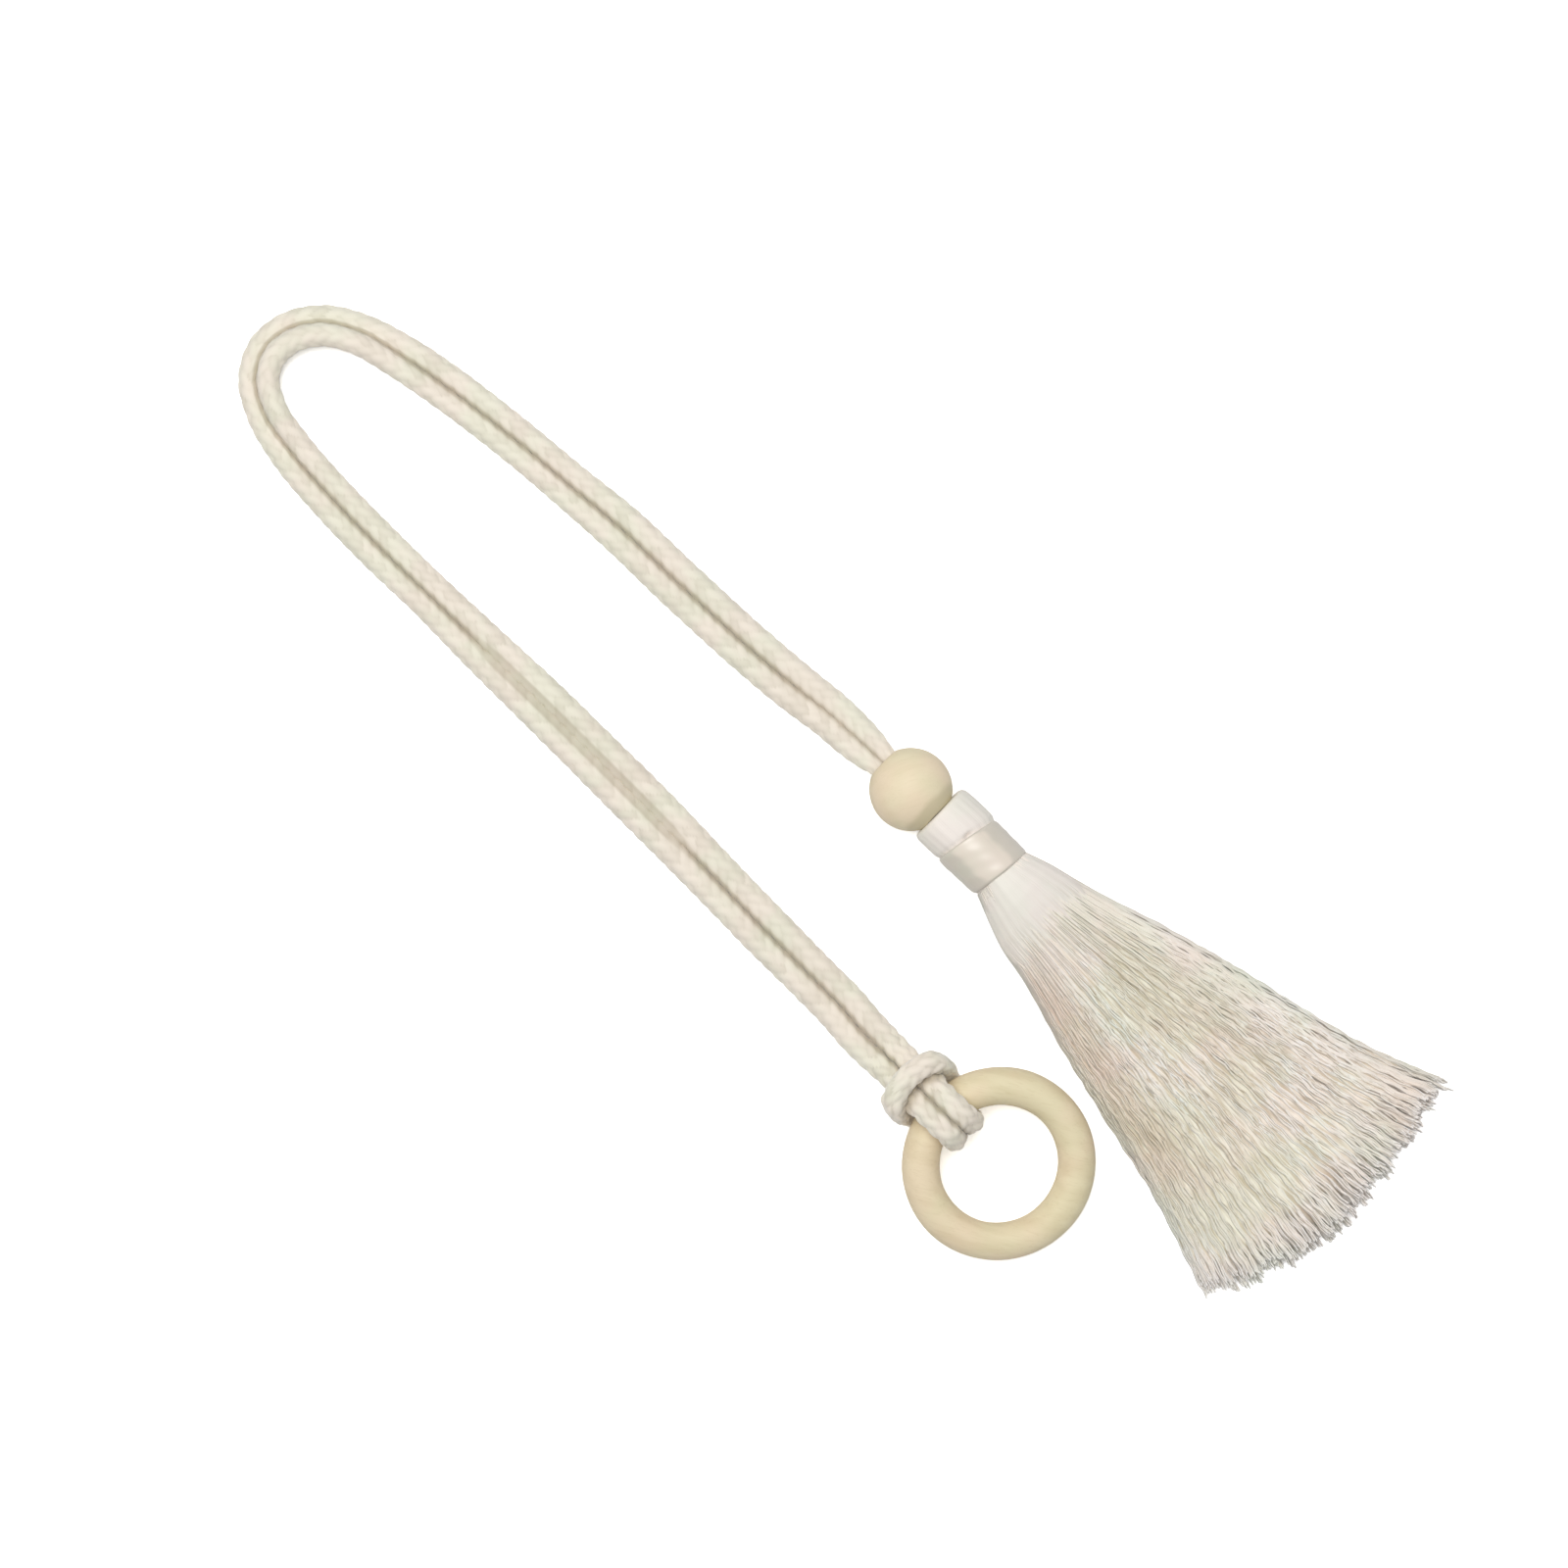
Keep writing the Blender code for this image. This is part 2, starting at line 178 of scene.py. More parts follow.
CORD_DIAMETER = 7.2
CORD_STEP = 0.80
CORD_SIDES = 48
BRAID_YARNS = 6
BRAID_PITCH = 4.7
BRAID_RELIEF = 0.56
BRAID_MEAN_HEIGHT = 0.66
BRAID_DRIFT = (
    # how far the yarns drift round the cord, how fast along it, start of the first wave
    (0.10, 0.83, 0.0),
    (0.07, 2.17, 1.0),
)
YARN_HALF_WIDTH = 0.56
STITCH_DIP = 0.9

# Painted shade falls where a strand faces another one close by: where it starts, and over what
# length it fades in, for the gap between them and for how squarely they face.
OWN_STRETCH = 22.0
NEIGHBOUR_REACH = 14.0
SHADE_GAP = (3.6, -2.2)
SHADE_FACING = (0.0, 0.46)
FLANK_FILL = 0.42
LOWER_LEG = -40.0
UPPER_LEG = -30.0

# Places along X and lengths of the fades; then fills, half widths of the groove, tones of its painted
# shade.
LOOSE_STRETCH = (-134.0, -30.0, 15.0)
LOOSE_FILL = 0.45
LOOSE_GAP = (1.6, 1.2, 0.8)
LOOSE_SHADE_TONE = (0.53, 0.15)
TAIL_EASE = (-54.0, 18.0, 0.30)
BEND_START = (-198.0, -14.0)
BEND_SHARPNESS = 2.2
HITCH_START = (44.0, 8.0)
HITCH_RELIEF = 0.9
HITCH_TONE = (0.8, 0.63)

# How far the loops are pressed back, from where beyond the wire, over what length, to what side;
# and what share of the bar beyond what side is pressed in, about what place, within what reach.
HITCH_SQUEEZE = (2.3, 5.5, 6.0, 14.0)
BAR_SQUEEZE = (0.46, 10.2, -10.0, 13.0)
BEAD_FACE = 11.62
RING_WIRE_MIDDLE = (75.34, -63.6)
TABLE_GAP = 0.02

CORD_LEG = (
    # x, y of the pair's mid-line; apart: centre to centre; outer and inner strand height; radius
    (BEAD_FACE, 0.0, 5.0, 12.6, 12.6, 2.35),
    (0.0, 0.0, 5.0, 12.6, 12.6, 2.35),
    (-11.5, 0.0, 5.0, 12.6, 12.6, 2.35),
    (-17.0, -0.1, 6.4, 11.5, 11.5, 2.95),
    (-24.0, -0.2, 7.2, 8.7, 8.7, 3.40),
    (-33.0, -0.4, 7.5, 5.5, 5.5, 3.57),
    (-45.0, -1.7, 7.8, 3.8, 3.8, 3.72),
    (-68.0, -3.2, 7.9, 3.8, 3.8, 3.76),
    (-94.0, -3.9, 7.9, 3.8, 3.8, 3.78),
    (-119.0, -4.1, 7.8, 3.7, 3.7, 3.70),
    (-142.0, -5.6, 7.2, 3.4, 3.4, 3.42),
    (-166.0, -7.4, 7.1, 3.4, 3.4, 3.38),
    (-188.0, -10.0, 7.2, 3.4, 3.5, 3.42),
    (-206.0, -13.2, 7.0, 3.4, 4.7, 3.40),
    (-219.0, -17.0, 6.3, 3.4, 6.7, 3.38),
    (-228.7, -23.0, 6.2, 3.5, 7.3, 3.45),
    (-234.2, -31.0, 6.3, 3.5, 7.4, 3.50),
    (-235.4, -39.8, 6.3, 3.5, 7.4, 3.50),
    (-231.5, -48.0, 6.3, 3.4, 7.1, 3.42),
    (-222.5, -53.8, 6.3, 3.4, 6.7, 3.38),
    (-209.0, -57.2, 7.0, 3.4, 4.7, 3.40),
    (-192.0, -58.9, 7.3, 3.5, 3.6, 3.45),
    (-171.0, -59.7, 7.4, 3.5, 3.5, 3.50),
    (-147.0, -59.7, 7.3, 3.5, 3.5, 3.45),
    (-122.0, -59.8, 8.0, 3.7, 3.7, 3.75),
    (-98.0, -59.7, 8.4, 4.0, 4.0, 3.98),
    (-74.0, -60.0, 8.5, 4.1, 4.1, 4.05),
    (-50.0, -60.4, 8.6, 4.1, 4.1, 4.10),
    (-26.0, -61.2, 8.3, 3.9, 3.9, 3.92),
    (-2.0, -62.0, 8.3, 3.9, 3.9, 3.92),
    (18.0, -62.4, 8.1, 3.9, 3.9, 3.82),
    (31.0, -62.7, 8.2, 4.7, 4.7, 3.85),
)

CORD_HITCH = (
    # out: from the middle of the ring's wire, away from the ring; side: from the ring's
    # centre line; up: height; radius
    (33.0, 4.1, 7.6, 3.75),
    (24.0, 3.9, 11.0, 3.60),
    (17.0, 3.75, 13.8, 3.50),
    (11.6, 3.7, 17.2, 3.50),
    (7.8, 3.7, 20.7, 3.50),
    (4.0, 3.7, 23.1, 3.50),
    (-0.8, 3.7, 23.9, 3.50),
    (-5.6, 3.7, 22.4, 3.50),
    (-9.3, 3.7, 18.7, 3.50),
    (-10.6, 3.8, 14.0, 3.50),
    (-9.7, 4.0, 9.3, 3.50),
    (-6.2, 4.6, 5.5, 3.50),
    (-1.0, 5.8, 3.8, 3.50),
    (4.0, 7.8, 4.8, 3.50),
    (7.4, 10.0, 8.6, 3.50),
    (8.9, 11.3, 13.4, 3.50),
    (10.6, 11.3, 18.4, 3.50),
    (13.2, 9.5, 22.7, 3.50),
    (15.2, 5.0, 24.6, 3.50),
)
CORD_BAR_MIDDLE = (15.8, 0.0, 24.9, 3.50)


def cord_points():
    """The cord's own points, tail to tail: (x, y, z, radius)."""
    outer = []
    inner = []
    for index, (x, y, apart, outer_height, inner_height, radius) in enumerate(CORD_LEG):
        before = CORD_LEG[max(index - 1, 0)]
        after = CORD_LEG[min(index + 1, len(CORD_LEG) - 1)]
        along = Vector((after[0] - before[0], after[1] - before[1])).normalized()
        across = Vector((-along.y, along.x)) * apart / 2.0
        outer.append((x - across.x, y - across.y, outer_height, radius))
        inner.append((x + across.x, y + across.y, inner_height, radius))
    wire_x, wire_y = RING_WIRE_MIDDLE
    first, last = (
        [(wire_x - out, wire_y + way * side, *rest) for out, side, *rest in CORD_HITCH]
        for way in (-1.0, 1.0)
    )
    out, side, *rest = CORD_BAR_MIDDLE
    return outer + first + [(wire_x - out, wire_y + side, *rest)] + last[::-1] + inner[::-1]


def smooth_between(t, length, start, start_slope, end, end_slope):
    """Smooth curve from start to end with these slopes, at the share t of the length."""
    return (
        start * (2 * t**3 - 3 * t**2 + 1)
        + start_slope * (t**3 - 2 * t**2 + t) * length
        + end * (3 * t**2 - 2 * t**3)
        + end_slope * (t**3 - t**2) * length
    )


def smooth_route(points, step=0.5):
    """Smooth curve through the points, as closely spaced samples."""
    route = [Vector(point) for point in points]
    lengths = [(b.xyz - a.xyz).length for a, b in zip(route, route[1:])]
    slopes = []
    for index, point in enumerate(route):
        if index == 0:
            slopes.append((route[1] - point) / lengths[0])
        elif index == len(route) - 1:
            slopes.append((point - route[-2]) / lengths[-1])
        else:
            back = (point - route[index - 1]) / lengths[index - 1]
            ahead = (route[index + 1] - point) / lengths[index]
            share = lengths[index - 1] / (lengths[index - 1] + lengths[index])
            slopes.append(back.lerp(ahead, share))
    samples = []
    for index, length in enumerate(lengths):
        count = max(2, round(length / step))
        ends = (route[index], slopes[index], route[index + 1], slopes[index + 1])
        samples += [smooth_between(number / count, length, *ends) for number in range(count)]
    samples.append(route[-1])
    for sample in samples:
        sample.z = max(sample.z, sample.w)
    return samples


def even_steps(samples, step):
    """The samples again, the same distance apart, with the distance of each from the start."""
    line = np.array([tuple(sample) for sample in samples])
    travelled = np.concatenate(([0.0], np.cumsum(np.linalg.norm(np.diff(line[:, :3], axis=0), axis=1))))
    distance = np.linspace(0.0, travelled[-1], round(travelled[-1] / step) + 1)
    return np.stack([np.interp(distance, travelled, column) for column in line.T], axis=1), distance


def carried_frames(line):
    """Two directions square to the line at each point, carried along it without twist."""
    tangents = np.gradient(line, axis=0)
    tangents /= np.linalg.norm(tangents, axis=1)[:, None]
    sides = np.empty_like(tangents)
    side = np.cross(tangents[0], (0.0, 0.0, 1.0))
    for index, tangent in enumerate(tangents):
        side = side - tangent * side.dot(tangent)
        side /= np.linalg.norm(side)
        sides[index] = side
    return sides, np.cross(tangents, sides)


def fade_in(values, start, length):
    """0 up to the start, evenly to 1 over the length. A length below 0 fades in the other way."""
    return np.clip((values - start) / length, 0.0, 1.0)


def braid(around, along):
    """Height of the braid and the tone of its stitches, both 0 to 1: every yarn goes over two of
    the other direction, then under two. Odd factors scatter the tones from stitch to stitch."""
    right = around + along
    left = around - along
    crossing = (np.floor(right) + np.floor(left)) % 4.0
    over = crossing < 1.5
    half = crossing % 2.0
    across = np.where(over, right % 1.0, left % 1.0) - 0.5
    ahead = half + np.where(over, left % 1.0, right % 1.0) - 1.0
    rounding = np.sqrt(np.maximum(0.0, 1.0 - (across / YARN_HALF_WIDTH) ** 2))
    height = rounding * np.cos(math.pi / 2.0 * ahead * STITCH_DIP) ** 0.5
    right_stitch = np.floor(right) * 7.13 + np.floor((left + 1.0 - half) / 2.0) * 3.71
    stitch = np.where(over, right_stitch, np.floor(left) * 5.37 + 1.9)
    return height, np.sin(stitch * 12.9898 + 4.1) * 43.7585 % 1.0


def nearness(line, skin, normals):
    """How much each point of the cord's skin faces another stretch of the cord close by, 0 to 1."""
    result = np.zeros(skin.shape[:2])
    apart = round(OWN_STRETCH / CORD_STEP)
    order = np.arange(len(line))
    for index in range(len(line)):
        other = np.abs(order - index) > apart
        far = line[other & (np.abs(line[:, :3] - line[index, :3]).max(axis=1) < NEIGHBOUR_REACH)]
        if not len(far):
            continue
        to_other = far[None, :, :3] - skin[index][:, None, :]
        distance = np.linalg.norm(to_other, axis=2)
        facing = (to_other * normals[index][:, None, :]).sum(axis=2) / distance
        close = fade_in(distance - far[None, :, 3], *SHADE_GAP)
        result[index] = (fade_in(facing, *SHADE_FACING) * close).max(axis=1)
    return result


def grid_mesh(name, rows, loop=False):
    """Skin through rows of points that go round, with a UV map: 0 to 1 round, 0 to 1 along.
    A loop's last row joins its first; otherwise both ends are closed."""
    count, sides, _ = rows.shape
    spans = count if loop else count - 1
    row = np.repeat(np.arange(spans), sides)
    side = np.tile(np.arange(sides), spans)
    row_after = (row + 1) % count
    side_after = (side + 1) % sides
    near, far = row * sides, row_after * sides
    quads = np.stack([near + side, near + side_after, far + side_after, far + side], axis=1)
    ends = [] if loop else [list(range(sides))[::-1], list(range((count - 1) * sides, count * sides))]
    mesh = bpy.data.meshes.new(name)
    mesh.from_pydata(rows.reshape(-1, 3).tolist(), [], quads.tolist() + ends)
    uv = np.zeros((len(mesh.loops), 2), np.float32)
    corner = np.arange(len(quads) * 4).reshape(-1, 4)
    for index, (step_round, step_along) in enumerate(((0, 0), (1, 0), (1, 1), (0, 1))):
        uv[corner[:, index], 0] = (side + step_round) / sides
        uv[corner[:, index], 1] = (row + step_along) / spans
    mesh.uv_layers.new(name="UVMap").data.foreach_set("uv", uv.ravel())
    mesh.shade_smooth()
    return mesh


def grid_piece(name, rows, loop=False, origin=BEAD_SPOT, lowest=TABLE_GAP):
    """Piece with a skin through rows in millimetres from the origin, kept above the table."""
    rows = rows * MM + np.array(origin)
    rows[:, :, 2] = np.maximum(rows[:, :, 2], lowest * MM)
    return show(name, grid_mesh(name, rows, loop))


def store_values(mesh, name, values):
    """One value for each point of the mesh."""
    stored = mesh.attributes.new(name, "FLOAT", "POINT")
    stored.data.foreach_set("value", np.ravel(values).astype(np.float32))


def stored_values(tree, name):
    return add_node(tree, "ShaderNodeAttribute", attribute_name=name).outputs["Fac"]


def srgb(red, green, blue):
    """Colour given 0 to 255, as the linear values that a shader takes."""
    return tuple((value / 255.0) ** 2.2 for value in (red, green, blue)) + (1.0,)


def noise(tree, vector, scale, detail=2.0):
    return add_node(tree, "ShaderNodeTexNoise", Vector=vector, Scale=scale, Detail=detail).outputs[0]


def tinted(tree, base, colour, measure, low, high, most=1.0):
    """The base, turned to the colour where the measure goes from low to high."""
    return blend_colours(tree, ramp(tree, measure, low, high, 0.0, most), base, colour)


def new_group(name, inputs, outputs):
    """Shader node group with named sockets, and its input and output nodes."""
    group = bpy.data.node_groups.new(name, "ShaderNodeTree")
    for socket, kind, value in inputs:
        made = group.interface.new_socket(socket, in_out="INPUT", socket_type="NodeSocket" + kind)
        if value is not None:
            made.default_value = value
    for socket, kind in outputs:
        group.interface.new_socket(socket, in_out="OUTPUT", socket_type="NodeSocket" + kind)
    return group, add_node(group, "NodeGroupInput").outputs, add_node(group, "NodeGroupOutput").inputs


def use_group(tree, group, **values):
    return add_node(tree, "ShaderNodeGroup", node_tree=group, **values).outputs


# Undyed yarn drifts a little to pink and to green, and its fine fibres catch the light.
yarn_cast, given, result = new_group(
    "yarn_cast",
    (
        ("Yarn", "Color", (0.7, 0.65, 0.55, 1.0)),
        ("Patch", "Float", 90.0),
        ("Cast", "Float", 0.5),
    ),
    (("Colour", "Color"), ("Fibre", "Float")),
)
spot = coordinates(yarn_cast, "Object")
patch = noise(yarn_cast, spot, given["Patch"], 3.0)
drift = tinted(yarn_cast, (1.03, 0.97, 0.97, 1.0), (0.95, 1.0, 0.93, 1.0), patch, 0.36, 0.64)
plug(yarn_cast, blend_colours(yarn_cast, given["Cast"], given["Yarn"], drift, "MULTIPLY"), result["Colour"])
plug(yarn_cast, noise(yarn_cast, spot, 2600.0), result["Fibre"])


def set_bump(tree, shader, height, strength, depth):
    bump = add_node(tree, "ShaderNodeBump", Height=height, Strength=strength, Distance=depth * MM)
    plug(tree, bump.outputs["Normal"], shader.inputs["Normal"])


def set_yarn(tree, shader, tone, patch, cast, fuzz=None):
    """Yarn of this tone, with its drift of colour and, given their strength and depth, its fibres."""
    drift = use_group(tree, yarn_cast, Yarn=tone, Patch=patch, Cast=cast)
    plug(tree, drift["Colour"], shader.inputs["Base Color"])
    if fuzz:
        set_bump(tree, shader, drift["Fibre"], *fuzz)


cord_line, cord_distance = even_steps(smooth_route(cord_points()), CORD_STEP)
cord_sides, cord_ups = carried_frames(cord_line[:, :3])
cord_x, cord_y, _, cord_radius = np.hsplit(cord_line, 4)
in_hitch = fade_in(cord_x, *HITCH_START)
turn = np.arange(CORD_SIDES) / CORD_SIDES
around, along = np.meshgrid(turn * BRAID_YARNS, cord_distance / BRAID_PITCH)
for drift, rate, first in BRAID_DRIFT:
    around = around + drift * np.sin(along * rate + first)
braid_height, stitch_tone = braid(around, along)
relief = BRAID_RELIEF * (0.75 + 0.5 * stitch_tone) * (braid_height - BRAID_MEAN_HEIGHT)
relief = relief * (1.0 + HITCH_RELIEF * in_hitch)
# Tone of the stitches: random from stitch to stitch, and painted shade where the braid dips between its
# yarns. In the hitch both are stronger.
cord_tone_and_shade = 0.35 + 0.35 * stitch_tone + 0.3 * braid_height
cord_tone_and_shade = cord_tone_and_shade + HITCH_TONE[0] * in_hitch * (cord_tone_and_shade - HITCH_TONE[1])
skin_radius = cord_radius * (1.0 + relief / (CORD_DIAMETER / 2.0))
cord_normals = (
    cord_sides[:, None, :] * np.cos(turn * math.tau)[None, :, None]
    + cord_ups[:, None, :] * np.sin(turn * math.tau)[None, :, None]
)
cord_rows = cord_line[:, None, :3] + cord_normals * skin_radius[:, :, None]
# Painted shade where a strand faces another stretch of the cord close by, narrower in the bend.
cord_shade = nearness(cord_line, cord_rows, cord_normals)
cord_shade = cord_shade ** (1.0 + BEND_SHARPNESS * fade_in(cord_x, *BEND_START))

# The flanks of the strands fill part of the groove between them. They fill more of it before the
# bead, where its painted shade is lighter, and on a stretch of the lower leg, where the groove is
# wide and shallow and its painted shade is a wide, pale band.
loose_from, loose_to, fade = LOOSE_STRETCH
loosely = fade_in(cord_x, loose_from, fade) * fade_in(cord_x, loose_to, -fade) * (cord_y < LOWER_LEG)
ease_from, ease_fade, ease = TAIL_EASE
eased = ease * fade_in(cord_x, ease_from, ease_fade) * (cord_y > UPPER_LEG)
cord_rows += cord_normals * ((FLANK_FILL + LOOSE_FILL * (loosely + eased)) * cord_shade**2)[:, :, None]
lower_leg = np.array([(x, y) for x, y, *_ in CORD_LEG if y < LOWER_LEG])
from_middle = np.abs(cord_rows[:, :, 1] - np.interp(cord_x, *lower_leg.T))
gap_least, gap_more, gap_fade = LOOSE_GAP
gap = fade_in(from_middle, gap_least + gap_more * loosely, -gap_fade)
gap_shade = gap * (LOOSE_SHADE_TONE[0] + LOOSE_SHADE_TONE[1] * np.minimum(from_middle / 2.0, 1.0))
cord_shade = cord_shade * (1.0 - loosely) * (1.0 - eased) + gap_shade * loosely

# The soft loops are pressed flat inside the ring, and so are the two ends of the bar.
wire_x, wire_y = RING_WIRE_MIDDLE
beside = cord_rows[:, :, 1] - wire_y
squeeze, squeeze_from, squeeze_fade, squeeze_side = HITCH_SQUEEZE
inside_ring = fade_in(cord_rows[:, :, 0] - wire_x, squeeze_from, squeeze_fade)
inside_ring = inside_ring * (np.abs(beside) < squeeze_side)
cord_rows[:, :, 0] -= squeeze * inside_ring**2 * (3.0 - 2.0 * inside_ring)
squeeze, bar_side, bar_middle, bar_reach = BAR_SQUEEZE
at_bar = np.abs(cord_rows[:, :, 0] - wire_x - bar_middle) < bar_reach
cord_rows[:, :, 1] -= squeeze * np.maximum(np.abs(beside) - bar_side, 0.0) * at_bar * np.sign(beside)
cord = grid_piece("cord_braided", cord_rows)
store_values(cord.data, "tone", cord_tone_and_shade)
store_values(cord.data, "shade", cord_shade)

cord_material, tree, shader = new_material(
    "cord_braid_yarn", Roughness=0.85, Sheen_Weight=0.6, Specular_IOR_Level=0.25
)
yarn_tone_and_shade = tinted(tree, srgb(216, 209, 192), srgb(241, 234, 219), stored_values(tree, "tone"), 0.25, 0.95)
# Painted shade in the groove between the strands, from the stored shade.
yarn_tone_and_shade = tinted(tree, yarn_tone_and_shade, srgb(176, 165, 141), stored_values(tree, "shade"), 0.0, 1.0, 0.7)
set_yarn(tree, shader, yarn_tone_and_shade, patch=70.0, cast=0.55, fuzz=(0.5, 0.08))
cord.data.materials.append(cord_material)

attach(cord, "root")
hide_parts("cord")

# Ring
# Turned from one pale plank, sanded and left bare, so its grain runs straight across it. The
# hitch props up its near side and the far side lies on the table.

RING_MEAN_RADIUS = 24.2
RING_WIRE_RADIUS = 5.8
RING_TILT = math.radians(9.6)
RING_ROUND = 180
RING_SIDES = 48
RING_SINK = 0.15
GRAIN_STRETCH = (0.10, 1.0, 1.0)
ring_low, ring_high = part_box("ring")
ring_middle = (ring_low + ring_high) / 2.0
ring_middle.z = (RING_WIRE_RADIUS + RING_MEAN_RADIUS * math.sin(RING_TILT) - RING_SINK) * MM


def reckon(tree, operation, *values):
    node = add_node(tree, "ShaderNodeMath", operation=operation)
    for value, socket in zip(values, node.inputs):
        plug(tree, value, socket)
    return node.outputs[0]


def turns(count):
    """Angles, evenly round a whole turn."""
    return np.arange(count) / count * math.tau


wood_grain, given, result = new_group(
    "wood_grain",
    (
        ("Place", "Vector", None),
        ("Pale wood", "Color", (0.8, 0.7, 0.5, 1.0)),
        ("Dark wood", "Color", (0.6, 0.5, 0.35, 1.0)),
        ("Grain", "Float", 0.5),
    ),
    (("Colour", "Color"), ("Pores", "Float")),
)
stretch = add_node(wood_grain, "ShaderNodeVectorMath", operation="MULTIPLY")
plug(wood_grain, given["Place"], stretch.inputs[0])
plug(wood_grain, GRAIN_STRETCH, stretch.inputs[1])
bands = noise(wood_grain, stretch.outputs[0], 260.0, 3.0)
pores = noise(wood_grain, stretch.outputs[0], 1900.0)
clouds = noise(wood_grain, given["Place"], 55.0)
bands = ramp(wood_grain, bands, 0.35, 0.70, 0.0, 0.7)
dark = reckon(wood_grain, "ADD", bands, ramp(wood_grain, pores, 0.52, 0.72, 0.0, 0.45))
dark = reckon(wood_grain, "MULTIPLY", dark, given["Grain"])
plank = blend_colours(wood_grain, dark, given["Pale wood"], given["Dark wood"])
flush = tinted(wood_grain, (1.02, 0.97, 0.96, 1.0), (0.97, 1.0, 0.94, 1.0), clouds, 0.35, 0.65)
plug(wood_grain, blend_colours(wood_grain, 0.8, plank, flush, "MULTIPLY"), result["Colour"])
plug(wood_grain, pores, result["Pores"])


def wood_material(name, pale, dark, grain, middle, turn_of_grain, roughness):
    material, tree, shader = new_material(name, Roughness=roughness, Specular_IOR_Level=0.35)
    mapping = add_node(
        tree,
        "ShaderNodeMapping",
        vector_type="TEXTURE",
        Vector=coordinates(tree, "Object"),
        Location=middle,
        Rotation=(0.0, 0.0, turn_of_grain),
    )
    spot = mapping.outputs[0]
    wood = use_group(tree, wood_grain, Place=spot, Pale_wood=pale, Dark_wood=dark, Grain=grain)
    plug(tree, wood["Colour"], shader.inputs["Base Color"])
    set_bump(tree, shader, wood["Pores"], 0.25, 0.05)
    return material


round_turn = turns(RING_ROUND)[:, None]
wire_turn = turns(RING_SIDES)
sanding = 0.05 * np.sin(3.0 * round_turn + 0.6) + 0.03 * np.sin(7.0 * round_turn)
reach = RING_MEAN_RADIUS + (RING_WIRE_RADIUS + sanding) * np.cos(wire_turn)
rise = -RING_WIRE_RADIUS * np.tile(np.sin(wire_turn), (RING_ROUND, 1))
ring_rows = np.stack([reach * np.cos(round_turn), reach * np.sin(round_turn), rise], axis=2)
ring_rows = ring_rows @ np.array(Matrix.Rotation(RING_TILT, 3, "Y")).T
ring = grid_piece("ring_turned", ring_rows, loop=True, origin=ring_middle, lowest=0.0)
ring_tones = (srgb(235, 221, 189), srgb(207, 189, 150))
ring.data.materials.append(wood_material("ring_bare_wood", *ring_tones, 0.45, ring_middle, 0.5, 0.55))
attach(ring, "root")
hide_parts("ring")

# Bead
# A plain turned ball of pale wood, drilled through for the two tails and countersunk. It sits
# a little askew on them, so that the mouth of the hole shows on the tassel's side.

BEAD_RADIUS = 12.75
BEAD_HOLE_RADIUS = 5.2
BEAD_MOUTH_RADIUS = 5.8
BEAD_MIDDLE = (0.0, 0.0, 12.6)
BEAD_LEAN = math.radians(-6.0)
BEAD_ROUND = 96
BEAD_ARC = 44
BEAD_END_SHADE = (7.4, 9.4, 0.55)
MOUTH_PROFILE = (
    # from the mouth's edge inwards: along the hole, radius
    (0.10, 5.62),
    (0.30, 5.42),
    (0.60, 5.30),
    (1.20, 5.22),
)
BORE_ROWS = 9
BORE_INSET = 2.6


def revolve(profile, sides):
    """Rows of points round the X axis, one for each (x, radius) of the profile."""
    turn = turns(sides)
    x, radius = (column[:, None] for column in np.array(profile).T)
    return np.stack([np.repeat(x, sides, axis=1), radius * np.cos(turn), radius * np.sin(turn)], axis=2)


mouth_x = math.sqrt(BEAD_RADIUS**2 - BEAD_MOUTH_RADIUS**2)
mouth_angle = math.acos(mouth_x / BEAD_RADIUS)
bead_arc = np.linspace(math.pi - mouth_angle, mouth_angle, BEAD_ARC)
bead_profile = [(BEAD_RADIUS * math.cos(angle), BEAD_RADIUS * math.sin(angle)) for angle in bead_arc]
bead_profile += [(mouth_x - depth, radius) for depth, radius in MOUTH_PROFILE]
bore = np.linspace(mouth_x - BORE_INSET, BORE_INSET - mouth_x, BORE_ROWS)
bead_profile += [(x, BEAD_HOLE_RADIUS) for x in bore]
bead_profile += [(depth - mouth_x, radius) for depth, radius in MOUTH_PROFILE[::-1]]
bead_rows = revolve(bead_profile, BEAD_ROUND) @ np.array(Matrix.Rotation(BEAD_LEAN, 3, "Y")).T
bead = grid_piece("bead_turned", bead_rows + np.array(BEAD_MIDDLE), loop=True, lowest=0.0)
store_values(bead.data, "end", np.repeat(np.array(bead_profile)[:, 0], BEAD_ROUND))

# Its end at the tassel is darker, with an uneven edge: painted shade beside the tassel's head.
bead_tones = (srgb(238, 224, 195), srgb(216, 200, 163))
bead_material = wood_material("bead_bare_wood", *bead_tones, 0.3, place(*BEAD_MIDDLE), 1.1, 0.5)
tree = bead_material.node_tree
colour = tree.nodes["Principled BSDF"].inputs["Base Color"]
bare = colour.links[0].from_socket
uneven = noise(tree, coordinates(tree, "Object"), 160.0, 1.0)
end = reckon(tree, "MULTIPLY_ADD", uneven, 1.6, stored_values(tree, "end"))
plug(tree, tinted(tree, bare, srgb(196, 184, 148), end, *BEAD_END_SHADE), colour)
bead.data.materials.append(bead_material)
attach(bead, "root")
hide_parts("bead")

# Tassel head
# The yarn is folded over the tails' end, and its outer turns make a smooth white cap. The
# threads of the cap run along the tassel, down through the neck and on into the skirt.

